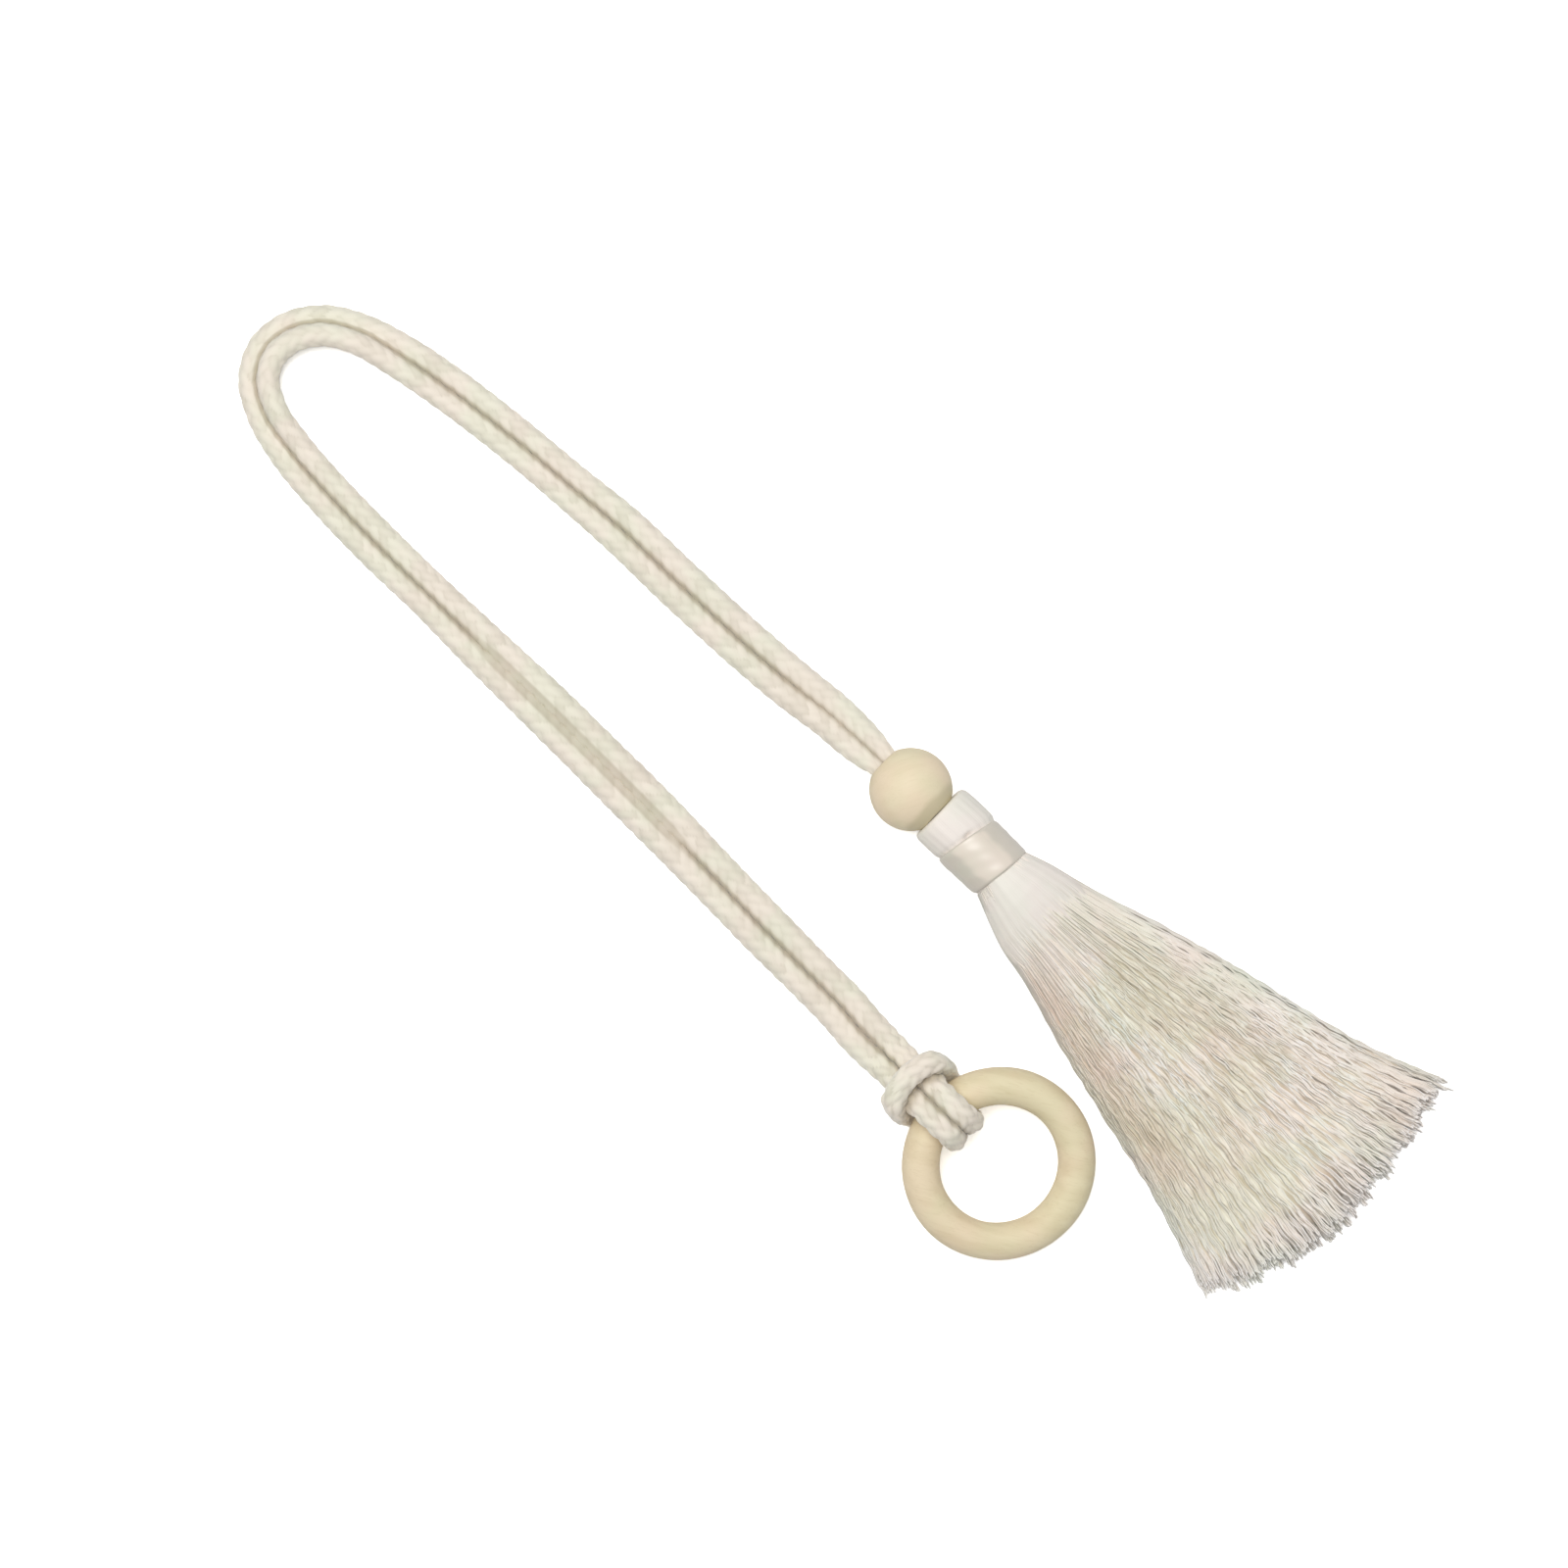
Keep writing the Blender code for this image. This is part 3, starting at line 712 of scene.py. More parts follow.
HEAD_SECTIONS = (
    # x, y of the middle, half width, bottom, top
    (11.66, 0.9, 4.0, 6.5, 14.4),
    (11.70, 0.9, 9.0, 1.4, 19.2),
    (12.05, 0.9, 9.9, 0.6, 20.0),
    (12.80, 0.9, 10.4, 0.2, 20.5),
    (16.00, 1.0, 10.5, 0.1, 20.7),
    (19.50, 1.1, 10.5, 0.1, 20.7),
    (21.60, 1.1, 10.4, 0.2, 20.6),
    (22.60, 1.0, 9.9, 0.7, 20.1),
    (24.50, 0.9, 9.5, 1.2, 19.9),
    (30.00, 0.8, 9.3, 1.4, 19.8),
    (37.00, 0.8, 9.3, 1.4, 19.8),
    (38.50, 0.6, 9.8, 1.2, 20.2),
    (42.00, 0.4, 11.3, 1.0, 20.7),
    (47.00, 0.2, 13.1, 0.8, 20.6),
    (53.00, -0.2, 14.8, 0.8, 19.6),
    (60.00, -0.3, 15.4, 0.8, 18.2),
    (66.00, -0.4, 15.6, 0.8, 17.0),
    (72.00, -0.5, 15.0, 0.9, 15.9),
    (80.00, -0.6, 13.0, 1.2, 14.2),
    (88.00, -0.7, 6.0, 3.0, 11.0),
)
HEAD_END = 76.0
HEAD_FINGERS = (
    # threads part from the smooth part in this many fingers round it, how long, turn of the first
    (9, 2.4, 0.4),
    (23, 3.2, 2.0),
    (61, 3.6, 1.1),
)
HEAD_SIDE_PARTING = 7.0
HEAD_PARTING = (52.0, 14.0)
HEAD_SIDES = 400
HEAD_FRONT = (11.66, 11.7, 11.85, 12.05, 12.4)
HEAD_FRONT_END = 12.8
HEAD_STEP = 0.60
HEAD_THREADS = 100
HEAD_THREAD_RELIEF = 0.07
HEAD_RELIEF_START = (12.0, 1.2)
HEAD_WANDER = (
    # how far the threads wander round, waves along and their start, waves round
    (0.5, 0.23, 0.0, 4.0),
    (0.4, 0.11, 2.0, 7.0),
)
HEAD_FOLDS = (
    # folds round the head, depth, turn of the first
    (3, 0.10, 0.4),
    (5, 0.10, 2.1),
    (9, 0.07, 1.2),
    (23, 0.06, 0.3),
)
HEAD_FOLD_TWIST = 0.06
HEAD_AXIS = (0.9, 10.6)

# Crease: x, y, length, width, depth. Dish: how far the rim of the cap stands forward, where along
# the cap that ends and over what length, where from the axis it starts and over what length.
HEAD_CREASE = (22.2, 1.8, 0.8, 1.6, 1.1)
HEAD_CREASE_ABOVE = 10.0
HEAD_DISH = (0.85, 13.4, 1.2, 5.0, 4.0)
NECK_SKEW = (23.0, 4.5)
BAND_SKEW = 0.19
BAND_LEAN = -0.09


def table_columns(table, x):
    """Every column of the table at the places x, smooth between its rows."""
    rows = np.array(table)
    slopes = np.gradient(rows, rows[:, 0], axis=0)
    index = np.clip(np.searchsorted(rows[:, 0], x, side="right") - 1, 0, len(rows) - 2)
    length = (rows[index + 1, 0] - rows[index, 0])[:, None]
    t = ((x - rows[index, 0]) / length[:, 0])[:, None]
    values = smooth_between(t, length, rows[index], slopes[index], rows[index + 1], slopes[index + 1])
    return np.hsplit(values, values.shape[1])


def vector(tree, x, y, z=0.0):
    return add_node(tree, "ShaderNodeCombineXYZ", X=x, Y=y, Z=z).outputs[0]


def streaks(tree, x, x_scale, y, y_scale, detail):
    """Noise drawn out into threads: fine across them, coarse along them."""
    spot = vector(tree, reckon(tree, "MULTIPLY", x, x_scale), reckon(tree, "MULTIPLY", y, y_scale))
    return noise(tree, spot, 1.0, detail)


def round_and_along(tree):
    """How far round a piece and how far along it, 0 to 1."""
    uv = parts(tree, add_node(tree, "ShaderNodeUVMap", uv_map="UVMap").outputs["UV"])
    return uv["X"], uv["Y"]


head_x = np.concatenate((HEAD_FRONT, np.arange(HEAD_FRONT_END, HEAD_END, HEAD_STEP)))[:, None]
turn = turns(HEAD_SIDES)
finger = HEAD_SIDE_PARTING * np.cos(turn) ** 4
for fingers, reach, first in HEAD_FINGERS:
    finger = finger + reach * (0.5 + 0.5 * np.sin(turn * fingers + first))
parting = fade_in(head_x, *HEAD_PARTING)
looked_up = head_x + finger * parting
section_x, *sections = np.array(HEAD_SECTIONS).T
middle, half_width, bottom, top = (np.interp(looked_up, section_x, column) for column in sections)
wander = 0.0
for reach, rate, first, waves in HEAD_WANDER:
    wander = wander + reach * np.sin(head_x * rate + first) * np.sin(turn * waves)
threads = np.abs(np.cos(turn * HEAD_THREADS / 2.0 + wander * 2.0)) ** 0.7
relief = HEAD_THREAD_RELIEF * (1.0 + 2.5 * parting) * threads
for folds, depth, first in HEAD_FOLDS:
    relief = relief + depth * np.sin(turn * folds + first + HEAD_FOLD_TWIST * head_x)
relief = relief * fade_in(head_x, *HEAD_RELIEF_START)
mid_height = (bottom + top) / 2.0
head_y = middle + (half_width + relief) * np.cos(turn)
head_z = mid_height + ((top - bottom) / 2.0 + relief) * np.sin(turn)
dish, dish_end, dish_fade, rim_start, rim_fade = HEAD_DISH
rim = fade_in(np.hypot(head_y - middle, head_z - mid_height), rim_start, rim_fade)
skewed_x = head_x - dish * rim * fade_in(head_x, dish_end, -dish_fade)
skew = np.exp(-(((head_x - NECK_SKEW[0]) / NECK_SKEW[1]) ** 2))
skewed_x = skewed_x + skew * (BAND_SKEW * (head_y - HEAD_AXIS[0]) + BAND_LEAN * (head_z - HEAD_AXIS[1]))
crease_x, crease_y, crease_long, crease_wide, crease_deep = HEAD_CREASE
dent = np.exp(-(((skewed_x - crease_x) / crease_long) ** 2) - ((head_y - crease_y) / crease_wide) ** 2)
head_z = head_z - crease_deep * dent * (head_z > HEAD_CREASE_ABOVE)
head = grid_piece("tassel_head", np.stack([skewed_x, head_y, head_z], axis=2))
head_material, tree, shader = new_material(
    "tassel_head_yarn", Roughness=0.55, Sheen_Weight=0.2, Specular_IOR_Level=0.35
)
head_round, head_along = round_and_along(tree)
# Painted shade: fine dark creases along the threads, growing over the back half of the head, towards where
# the threads part.
strands = ramp(tree, streaks(tree, head_round, 130.0, head_along, 4.0, 2.0), 0.44, 0.66)
crease_shade = reckon(tree, "MULTIPLY", strands, ramp(tree, head_along, 0.50, 1.0))
crease_shade = reckon(tree, "MULTIPLY", crease_shade, 0.75)
head_tone = blend_colours(tree, crease_shade, srgb(240, 234, 226), srgb(212, 200, 181))
set_yarn(tree, shader, head_tone, patch=60.0, cast=0.4, fuzz=(0.35, 0.05))
head.data.materials.append(head_material)
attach(head, "root")
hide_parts("tassel")

# Skirt
# Some sixteen hundred cut threads of silky, faintly crimped yarn, fanned out flat. They part
# below the neck, gather in small uneven locks towards their ends, and end in a ragged curve.

SKIRT_SECTIONS = (
    # x, y of the middle, half width, underside, height of the side edge, top
    (37.2, 0.6, 9.5, 0.8, 10.4, 20.0),
    (42.0, 0.4, 11.4, 0.5, 9.6, 20.5),
    (47.0, 0.2, 13.2, 0.4, 8.0, 20.3),
    (53.0, -0.2, 15.0, 0.3, 6.4, 19.4),
    (64.0, 0.0, 17.5, 0.2, 4.4, 17.8),
    (88.0, 0.2, 24.6, 0.2, 2.6, 14.6),
    (112.0, 0.3, 30.6, 0.2, 1.9, 12.4),
    (136.0, 0.0, 36.2, 0.2, 1.5, 10.8),
    (160.0, -0.9, 43.3, 0.2, 1.2, 9.8),
    (178.0, -0.8, 50.2, 0.2, 1.1, 8.8),
    (193.0, -0.9, 56.0, 0.2, 1.0, 8.0),
)
SKIRT_START = SKIRT_SECTIONS[0][0]
SKIRT_LENGTH = SKIRT_SECTIONS[-1][0] - SKIRT_START
SKIRT_ENDS = (
    # place across, 0 to 1; where the longest threads end there, as a share of the length
    (0.00, 0.896),
    (0.10, 0.924),
    (0.19, 0.948),
    (0.27, 0.968),
    (0.35, 0.985),
    (0.50, 0.999),
    (0.66, 0.988),
    (0.81, 0.978),
    (0.89, 0.955),
    (0.97, 0.958),
    (1.00, 0.950),
)
TOP_THREADS_SHORTER = 0.028
GUIDE_STEPS = 60
GUIDE_COLUMNS = 49
LOCK_UNEVENNESS = 1.6
THREAD_BEND = 3.7


def skirt_profile(share):
    """How far from the side edge's height to the top, 0 to 1, at a share of the half width."""
    return np.sqrt(np.maximum(0.0, 1.0 - np.abs(share) ** 2.2))


guide_x = np.linspace(SKIRT_START, SKIRT_START + SKIRT_LENGTH, GUIDE_STEPS)
guide_share = np.sin(np.linspace(-math.pi / 2.0, math.pi / 2.0, GUIDE_COLUMNS))
_, middle, half_width, bottom, edge, top = table_columns(SKIRT_SECTIONS, guide_x)
profile = skirt_profile(guide_share)
guide_rows = np.stack(
    [
        np.repeat(guide_x[:, None], GUIDE_COLUMNS, axis=1),
        middle + half_width * guide_share,
        edge + (top - edge) * profile,
    ],
    axis=2,
)
corner = (np.arange(GUIDE_STEPS - 1)[:, None] * GUIDE_COLUMNS + np.arange(GUIDE_COLUMNS - 1)).ravel()
cells = np.stack([corner, corner + GUIDE_COLUMNS, corner + GUIDE_COLUMNS + 1, corner + 1], axis=1)
guide_mesh = bpy.data.meshes.new("skirt_guide")
guide_mesh.from_pydata((guide_rows * MM + np.array(BEAD_SPOT)).reshape(-1, 3).tolist(), [], cells.tolist())
guide_uv = guide_mesh.uv_layers.new(name="UVMap")
for corner in guide_mesh.loops:
    row, column = divmod(corner.vertex_index, GUIDE_COLUMNS)
    guide_uv.data[corner.index].uv = (row / (GUIDE_STEPS - 1), guide_share[column] / 2.0 + 0.5)
store_values(guide_mesh, "underside", (edge - (edge - bottom) * profile) * MM)

THREAD_INPUTS = {
    "Geometry": ("Guide",),
    "Material": ("Yarn",),
    "Int": ("Threads", "Steps", "Seed"),
    "Float": (
        "Thread radius", "Reach", "Lowest", "Highest", "Locks",
        "Gathering", "Crimp height", "Crimp length", "Wander", "Uneven ends",
    ),
}


def named_socket(sockets, name):
    return next(socket for socket in sockets if socket.name == name and socket.enabled)


def random_value(tree, low, high, seed):
    node = add_node(tree, "FunctionNodeRandomValue", data_type="FLOAT")
    for name, value in (("Min", low), ("Max", high), ("Seed", seed)):
        plug(tree, value, named_socket(node.inputs, name))
    return named_socket(node.outputs, "Value")


def attribute(tree, name, kind="FLOAT"):
    node = add_node(tree, "GeometryNodeInputNamedAttribute", data_type=kind)
    node.inputs["Name"].default_value = name
    return named_socket(node.outputs, "Attribute")


def store(tree, geometry, name, value):
    node = add_node(tree, "GeometryNodeStoreNamedAttribute", data_type="FLOAT", domain="POINT")
    plug(tree, geometry, node.inputs["Geometry"])
    node.inputs["Name"].default_value = name
    plug(tree, value, named_socket(node.inputs, "Value"))
    return node.outputs[0]


def chance(tree, number, seed):
    """Even chance, 0 to 1, that is the same wherever the number is."""
    spot = vector(tree, number, seed, 0.5)
    return add_node(tree, "ShaderNodeTexWhiteNoise", noise_dimensions="3D", Vector=spot).outputs["Value"]


def sample_guide(tree, guide, value, kind, spot):
    node = add_node(tree, "GeometryNodeSampleUVSurface", data_type=kind)
    plug(tree, guide, node.inputs["Mesh"])
    plug(tree, value, named_socket(node.inputs, "Value"))
    plug(tree, attribute(tree, "UVMap", "FLOAT_VECTOR"), node.inputs["UV Map"])
    plug(tree, spot, node.inputs["Sample UV"])
    return named_socket(node.outputs, "Value")


def thread_tree():
    """Geometry Nodes: threads that follow the guide sheet, between its underside and its top."""
    tree = bpy.data.node_groups.new("skirt_threads", "GeometryNodeTree")
    for kind, names in THREAD_INPUTS.items():
        for name in names:
            tree.interface.new_socket(name, in_out="INPUT", socket_type="NodeSocket" + kind)
    tree.interface.new_socket("Skirt", in_out="OUTPUT", socket_type="NodeSocketGeometry")
    given = add_node(tree, "NodeGroupInput").outputs
    seed = given["Seed"]
    times, plus, minus, times_plus, divided = (
        partial(reckon, tree, name) for name in ("MULTIPLY", "ADD", "SUBTRACT", "MULTIPLY_ADD", "DIVIDE")
    )

    def made(kind, **inputs):
        return add_node(tree, kind, **inputs).outputs[0]

    reach = given["Reach"]
    share = random_value(tree, times(reach, -1.0), reach, seed)
    rank = random_value(tree, given["Lowest"], given["Highest"], plus(seed, 1.0))
    threads = made("GeometryNodePoints", Count=given["Threads"])
    threads = store(tree, threads, "share", share)
    threads = store(tree, threads, "rank", rank)
    threads = store(tree, threads, "number", made("GeometryNodeInputIndex"))
    line = made("GeometryNodeCurvePrimitiveLine", End=(1.0, 0.0, 0.0))
    line = made("GeometryNodeResampleCurve", Curve=line, Count=given["Steps"])
    copies = made("GeometryNodeInstanceOnPoints", Points=threads, Instance=line)
    lines = made("GeometryNodeRealizeInstances", Geometry=copies)

    # Each thread belongs to a lock, and each lock has a middle that its threads lean to.
    share = attribute(tree, "share")
    number = attribute(tree, "number")
    across = times_plus(share, 0.5, 0.5)
    lock_place = times(across, given["Locks"])
    uneven = times(noise(tree, vector(tree, lock_place, seed, 3.0), 0.6, 0.0), LOCK_UNEVENNESS)
    lock = reckon(tree, "FLOOR", plus(lock_place, uneven))
    lock_middle = minus(plus(lock, 0.5), uneven)
    lock_share = times_plus(divided(lock_middle, given["Locks"]), 2.0, -1.0)

    # The ends follow the curve of SKIRT_ENDS, and are ragged by lock and by thread.
    ends = add_node(tree, "ShaderNodeFloatCurve", Value=across)
    curve = ends.mapping.curves[0]
    while len(curve.points) < len(SKIRT_ENDS):
        curve.points.new(0.5, 0.5)
    for point, spot in zip(curve.points, SKIRT_ENDS):
        point.location = spot
    ends.mapping.update()
    ragged = plus(chance(tree, lock, seed), times(chance(tree, number, seed), 0.8))
    end = minus(ends.outputs[0], times(ragged, given["Uneven ends"]))
    end = times_plus(attribute(tree, "rank"), -TOP_THREADS_SHORTER, end)
    position = made("GeometryNodeInputPosition")
    along = parts(tree, position)["X"]
    travelled = times(along, end)
    lines = store(tree, lines, "along", along)
    tint = plus(times(chance(tree, number, 5.0), 0.6), times(chance(tree, lock, 7.0), 0.4))
    lines = store(tree, lines, "tint", tint)

    gather = times(given["Gathering"], ramp(tree, travelled, 0.12, 0.9))
    gathered = times_plus(minus(lock_share, share), gather, share)
    gathered = reckon(tree, "MINIMUM", reckon(tree, "MAXIMUM", gathered, -0.998), 0.998)
    spot = vector(tree, travelled, times_plus(gathered, 0.5, 0.5))
    top = sample_guide(tree, given["Guide"], position, "FLOAT_VECTOR", spot)
    low = sample_guide(tree, given["Guide"], attribute(tree, "underside"), "FLOAT", spot)

    # Crimp: a small wave, in step within a lock. Wander: each thread strays a little on its own.
    phase = times(chance(tree, lock, plus(seed, 2.0)), math.tau)
    phase = times_plus(chance(tree, number, 9.0), 1.4, phase)
    drift = noise(tree, vector(tree, times(travelled, 6.0), times(lock, THREAD_BEND), seed), 1.0, 1.0)
    distance = times(travelled, SKIRT_LENGTH * MM)
    angle = times_plus(divided(distance, given["Crimp length"]), math.tau, phase)
    wave = reckon(tree, "SINE", times_plus(drift, 9.0, angle))
    crimp = times(times(given["Crimp height"], wave), ramp(tree, travelled, 0.10, 0.45))
    own = times(number, THREAD_BEND)
    stray = minus(noise(tree, vector(tree, times(travelled, 4.0), own, seed), 1.0, 1.0), 0.5)
    lift = minus(noise(tree, vector(tree, times(travelled, 6.0), own, 50.0), 1.0, 1.0), 0.5)
    loose = times(given["Wander"], ramp(tree, travelled, 0.02, 0.5, 0.1, 1.0))
    top_x, top_y, top_z = parts(tree, top)
    side = plus(top_y, times_plus(stray, times(loose, 2.0), crimp))
    height = times_plus(minus(top_z, low), attribute(tree, "rank"), low)
    height = reckon(tree, "MAXIMUM", times_plus(lift, loose, height), given["Thread radius"])
    moved = vector(tree, top_x, side, height)
    lines = made("GeometryNodeSetPosition", Geometry=lines, Position=moved)

    circle = made("GeometryNodeCurvePrimitiveCircle", Resolution=3, Radius=1.0)
    scale = times(given["Thread radius"], ramp(tree, attribute(tree, "along"), 0.0, 0.35, 0.6, 1.0))
    skin = made("GeometryNodeCurveToMesh", Curve=lines, Profile_Curve=circle, Scale=scale, Fill_Caps=True)
    smooth = made("GeometryNodeSetShadeSmooth", Geometry=skin)
    whole = made("GeometryNodeRealizeInstances", Geometry=smooth)
    dyed = made("GeometryNodeSetMaterial", Geometry=whole, Material=given["Yarn"])
    plug(tree, dyed, add_node(tree, "NodeGroupOutput").inputs[0])
    return tree


def made_mesh(name, guide, tree, settings):
    """Plain mesh piece from a Geometry Nodes tree with its named inputs set."""
    holder = show(name + "_holder", guide)
    modifier = holder.modifiers.new("threads", "NODES")
    modifier.node_group = tree
    for item in tree.interface.items_tree:
        if item.in_out == "INPUT" and item.name in settings:
            modifier[item.identifier] = settings[item.name]
    view = bpy.context.evaluated_depsgraph_get()
    finished = holder.evaluated_get(view)
    mesh = bpy.data.meshes.new_from_object(finished, preserve_all_data_layers=True, depsgraph=view)
    mesh.name = name
    bpy.data.objects.remove(holder)
    return show(name, mesh)


skirt_material, tree, shader = new_material(
    "skirt_yarn", Roughness=0.42, Sheen_Weight=0.25, Specular_IOR_Level=0.5
)
tint = stored_values(tree, "tint")
along = stored_values(tree, "along")
share = stored_values(tree, "share")
# Painted highlights: short glints along the threads, as on the crests of their crimp. Painted shade: short
# darker flecks between them.
glints_and_shade_flecks = streaks(tree, along, 30.0, tint, 400.0, 1.0)
tan_patch = noise(tree, coordinates(tree, "Object"), 24.0, 1.0)
tone = tinted(tree, srgb(228, 219, 202), srgb(253, 248, 239), tint, 0.15, 0.75)
tone = tinted(tree, tone, srgb(255, 254, 249), glints_and_shade_flecks, 0.52, 0.64)
tone = tinted(tree, tone, srgb(206, 192, 168), glints_and_shade_flecks, 0.40, 0.28, 0.8)
tone = tinted(tree, tone, srgb(229, 210, 187), tan_patch, 0.44, 0.62, 0.42)
# Painted light: paler towards the ends, against the shade among their sparse threads.
tone = tinted(tree, tone, srgb(254, 249, 240), along, 0.70, 0.92, 0.45)

# Upwards of the ends, the fan is more tan on its right and paler on its left. Near the neck it
# is as white as the head, and its edges and the last stretch before the ends are a little grey.
# The cut ends themselves are painted near white: painted light against the shade on them.
tan_side = ramp(tree, share, -0.30, -0.80, 0.0, 0.55)
tan_side = reckon(tree, "MULTIPLY", tan_side, ramp(tree, along, 0.62, 0.84, 1.0, 0.0))
tone = blend_colours(tree, tan_side, tone, srgb(229, 206, 183))
pale_side = ramp(tree, share, 0.35, 0.80, 0.0, 0.5)
pale_side = reckon(tree, "MULTIPLY", pale_side, ramp(tree, along, 0.50, 0.75, 1.0, 0.0))
tone = blend_colours(tree, pale_side, tone, srgb(255, 251, 243))
tone = tinted(tree, srgb(248, 241, 231), tone, along, 0.12, 0.32)
tone = tinted(tree, tone, srgb(214, 216, 208), reckon(tree, "ABSOLUTE", share), 0.86, 1.0, 0.5)
tone = tinted(tree, tone, srgb(214, 213, 208), along, 0.972, 0.990, 0.3)
tone = tinted(tree, tone, srgb(254, 252, 247), along, 0.990, 1.0)
set_yarn(tree, shader, tone, patch=45.0, cast=0.6, fuzz=(0.3, 0.04))

SKIRT_COLUMNS = (
    "Threads", "Thread radius", "Reach", "Lowest", "Highest", "Locks",
    "Gathering", "Crimp height", "Wander", "Uneven ends", "Seed",
)
SKIRT_LAYERS = (
    # name, then the columns
    ("skirt_low", 540, 0.36, 1.00, 0.00, 0.60, 34.0, 0.45, 0.24, 1.3, 0.022, 11),
    ("skirt_middle", 540, 0.34, 0.99, 0.45, 0.90, 40.0, 0.50, 0.28, 1.2, 0.020, 23),
    ("skirt_top", 540, 0.32, 0.985, 0.86, 1.00, 46.0, 0.50, 0.30, 1.1, 0.018, 37),
)
SKIRT_LENGTHS = ("Thread radius", "Crimp height", "Crimp length", "Wander")
THREAD_STEPS = 58
CRIMP_LENGTH = 9.0
skirt_threads = thread_tree()
for name, *values in SKIRT_LAYERS:
    settings = {"Steps": THREAD_STEPS, "Crimp length": CRIMP_LENGTH, "Yarn": skirt_material}
    settings.update(zip(SKIRT_COLUMNS, values))
    settings.update({length: settings[length] * MM for length in SKIRT_LENGTHS})
    layer = made_mesh(name, guide_mesh, skirt_threads, settings)
    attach(layer, "root")
    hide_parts("tassel")

# Skirt core
# The hidden inner threads of the skirt, packed too tightly to tell apart. They show only in the
# gaps between the outer threads, in a tone painted darker as the shade in those gaps.

CORE_STEPS = 90
CORE_SIDES = 216
CORE_END = 183.0
CORE_END_CURVE = 9.0
CORE_FILL = 0.955
CORE_END_TAPER = 11.0
CORE_RIPPLES = (
    # depth, ripples round the core, turn for each millimetre along it
    (0.015, 31.0, 0.05),
    (0.008, 73.0, -0.07),
)
CORE_WIDTH = 0.93
CORE_END_NARROWER = 0.10
CORE_UNDERSIDE = 0.9

core_x = np.linspace(SKIRT_START + 0.3, CORE_END, CORE_STEPS)
_, middle, half_width, bottom, edge, top = table_columns(SKIRT_SECTIONS, core_x)
core_x = core_x[:, None]
turn = turns(CORE_SIDES)
share = np.cos(turn)
swell = np.sign(np.sin(turn)) * skirt_profile(share)
taper = fade_in(core_x, CORE_END, -CORE_END_TAPER) ** 0.5
fill = CORE_FILL * (0.25 + 0.75 * taper)
ripple = 1.0
for depth, waves, twist in CORE_RIPPLES:
    ripple = ripple + depth * np.sin(turn * waves + twist * core_x)
core_top = edge + (top - edge) * swell * fill * ripple
core_z = np.where(swell > 0.0, core_top, edge + (edge - bottom) * swell * CORE_UNDERSIDE)
core_y = middle + half_width * share * (CORE_WIDTH - CORE_END_NARROWER * (1.0 - taper))
core_reach = (core_x - SKIRT_START) / (CORE_END - SKIRT_START)
core_rows = np.stack([core_x - CORE_END_CURVE * share**2 * core_reach, core_y, core_z], axis=2)
core = grid_piece("skirt_core", core_rows)
core_material, tree, shader = new_material("skirt_core_yarn", Roughness=0.8, Specular_IOR_Level=0.2)
core_round, core_along = round_and_along(tree)
strands = streaks(tree, core_round, 260.0, core_along, 14.0, 1.5)
# Painted shade: the core's tone is darker than the outer threads', with darker streaks as wide as locks.
locks = streaks(tree, core_round, 95.0, core_along, 5.0, 1.0)
core_tone_and_shade = tinted(tree, srgb(215, 203, 182), srgb(249, 242, 229), strands, 0.36, 0.62)
core_tone_and_shade = tinted(tree, core_tone_and_shade, srgb(204, 190, 167), locks, 0.44, 0.32, 0.7)
core_tone_and_shade = tinted(tree, srgb(243, 235, 224), core_tone_and_shade, core_along, 0.12, 0.32)
set_yarn(tree, shader, core_tone_and_shade, patch=45.0, cast=0.6)
set_bump(tree, shader, strands, 0.6, 0.4)
core.data.materials.append(core_material)
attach(core, "root")
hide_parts("tassel")

# Band
# A strip of satin wound tightly round the neck, a little askew, its end tucked under so that
# one long edge stands proud along the side.

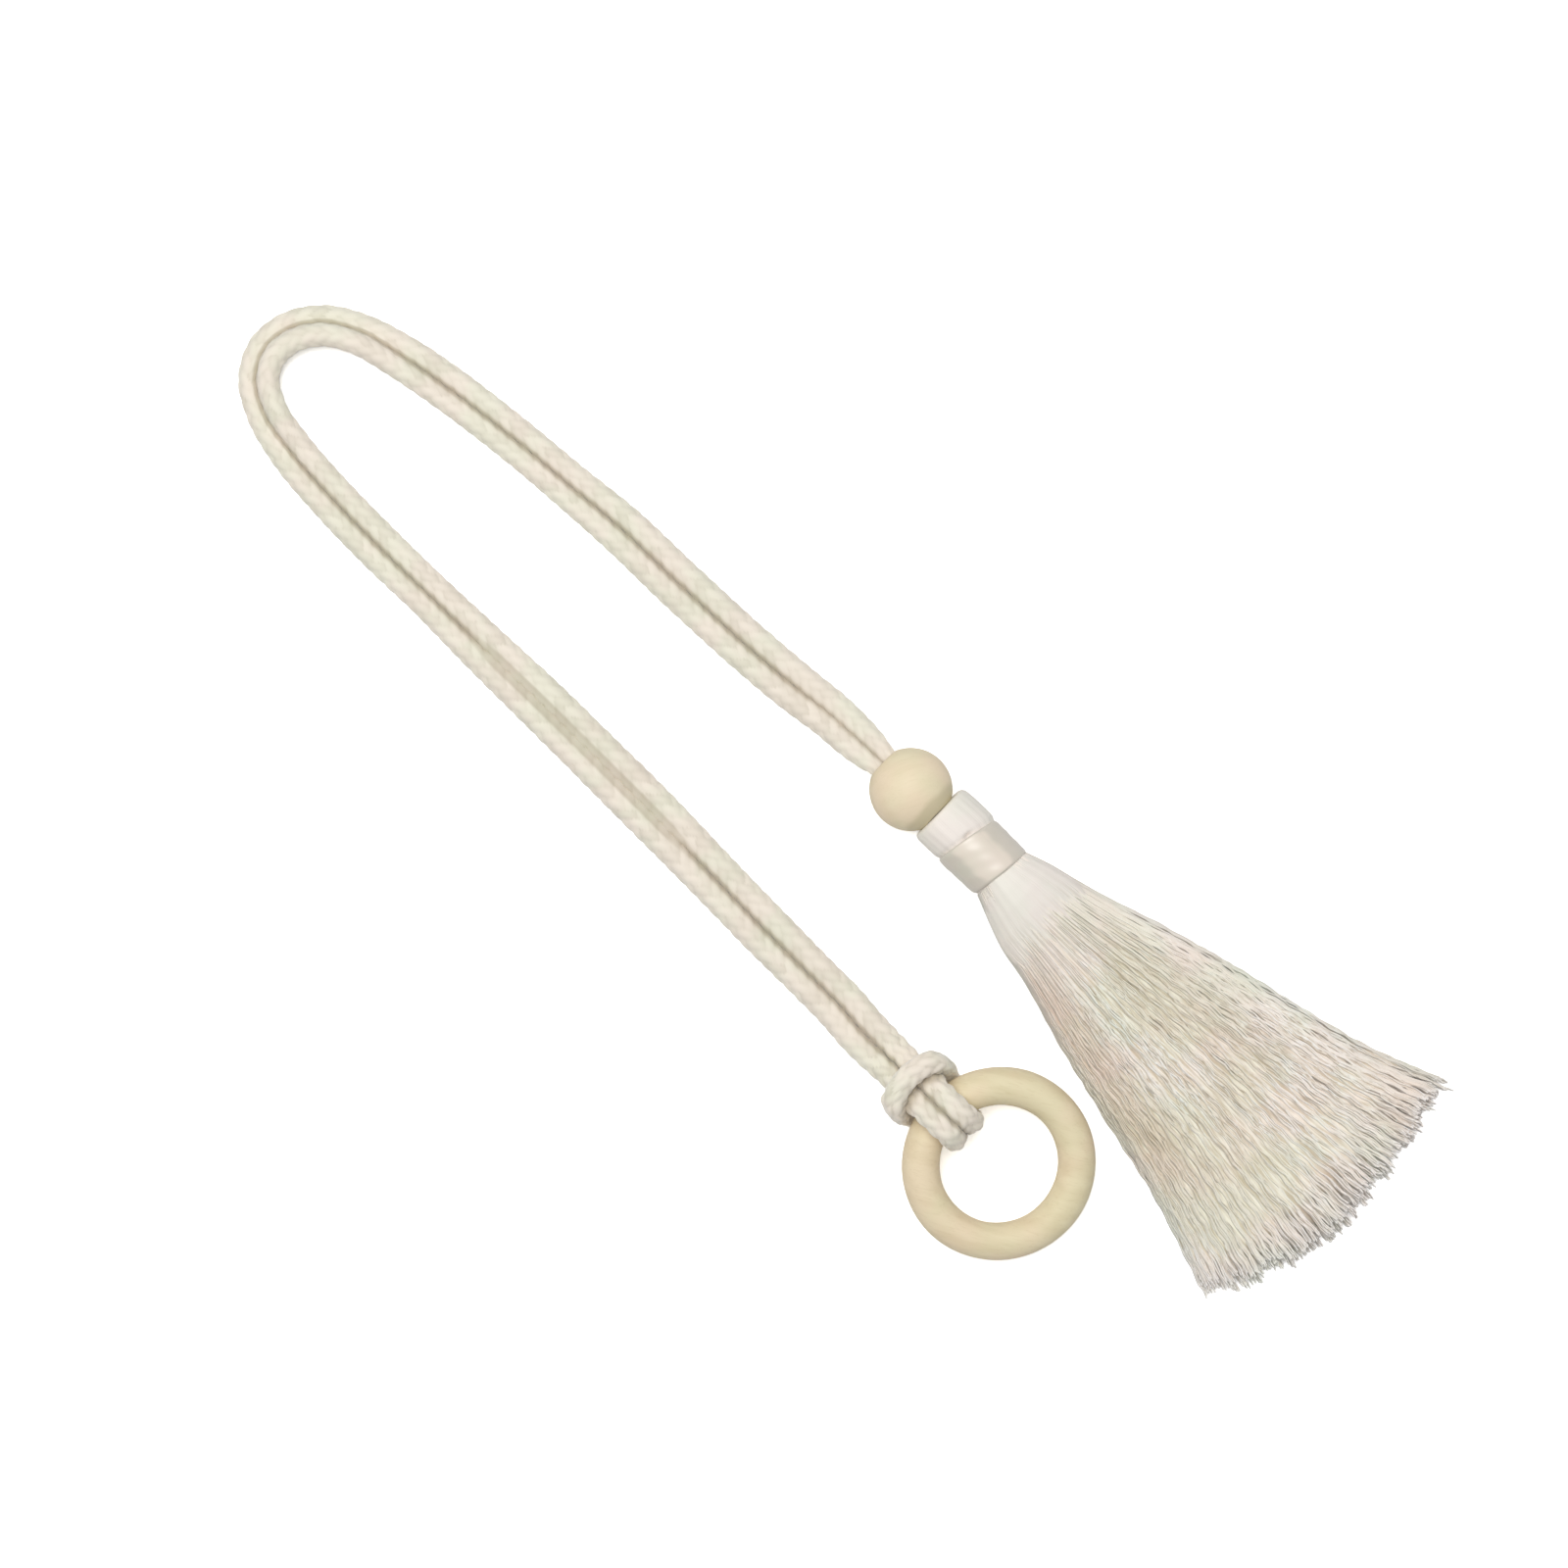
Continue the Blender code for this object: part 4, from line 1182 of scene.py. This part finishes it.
BAND_START = 23.2
BAND_END = (37.5, 0.13)
BAND_MIDDLE = (0.8, 10.6)
BAND_RADIUS = (10.45, 10.1)
BAND_SWELL = 0.12
BAND_INNER_RADIUS = 9.5
BAND_EDGE_ROUNDING = (0.35, 0.03)
BAND_ROUND = 200
BAND_STEPS = 26
BAND_OVERLAP = 0.14
BAND_OVERLAP_TURN = (math.radians(64.0), 0.10)
BAND_OVERLAP_EDGE = 0.16
BAND_OVERLAP_REACH = (3.6, 2.0)

share = np.linspace(0.0, 1.0, BAND_STEPS)
outer = BAND_RADIUS[0] + (BAND_RADIUS[1] - BAND_RADIUS[0]) * share + BAND_SWELL * np.sin(math.pi * share)
rounding, rounded = BAND_EDGE_ROUNDING
outer = outer - rounding * (np.exp(-share / rounded) + np.exp((share - 1.0) / rounded))
band_profile = [*zip(share, outer), *((value, BAND_INNER_RADIUS) for value in share[::-1][::5])]
band_rows = revolve(band_profile, BAND_ROUND)
turn = turns(BAND_ROUND)
along = band_rows[:, :, 0]
edge_turn = BAND_OVERLAP_TURN[0] + BAND_OVERLAP_TURN[1] * along
overlap_end, overlap_fade = BAND_OVERLAP_REACH
proud = fade_in(turn, edge_turn, BAND_OVERLAP_EDGE) * fade_in(turn, edge_turn + overlap_end, -overlap_fade)
creases = 0.05 * np.sin(along * 9.0 + 1.5 * np.sin(turn * 3.0)) + 0.04 * np.sin(along * 21.0 + turn * 5.0)
is_outer = (np.arange(len(band_profile)) < BAND_STEPS)[:, None]
relief = np.where(is_outer, BAND_OVERLAP * proud + creases, 0.0)
radius = np.linalg.norm(band_rows[:, :, 1:], axis=2) + relief
band_y = radius * np.cos(turn)
band_z = radius * np.sin(turn)
start_x = BAND_START + BAND_SKEW * band_y + BAND_LEAN * band_z
end_x = BAND_END[0] + BAND_END[1] * band_y
band_x = start_x * (1.0 - along) + end_x * along
band_rows = np.stack([band_x, BAND_MIDDLE[0] + band_y, BAND_MIDDLE[1] + band_z], axis=2)
band = grid_piece("band_wound", band_rows, loop=True)
band_material, tree, shader = new_material(
    "band_satin", Roughness=0.32, Sheen_Weight=0.1, Specular_IOR_Level=0.6
)
# Painted shade: the satin is darker where it turns away from the view, as its sheen falls away at the
# sides.
turned_away_shade = add_node(tree, "ShaderNodeLayerWeight").outputs["Facing"]
satin = tinted(tree, srgb(232, 223, 209), srgb(213, 208, 195), turned_away_shade, 0.09, 0.22)
set_yarn(tree, shader, satin, patch=80.0, cast=0.5, fuzz=(0.2, 0.03))
band.data.materials.append(band_material)
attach(band, "root")
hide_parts("binding")
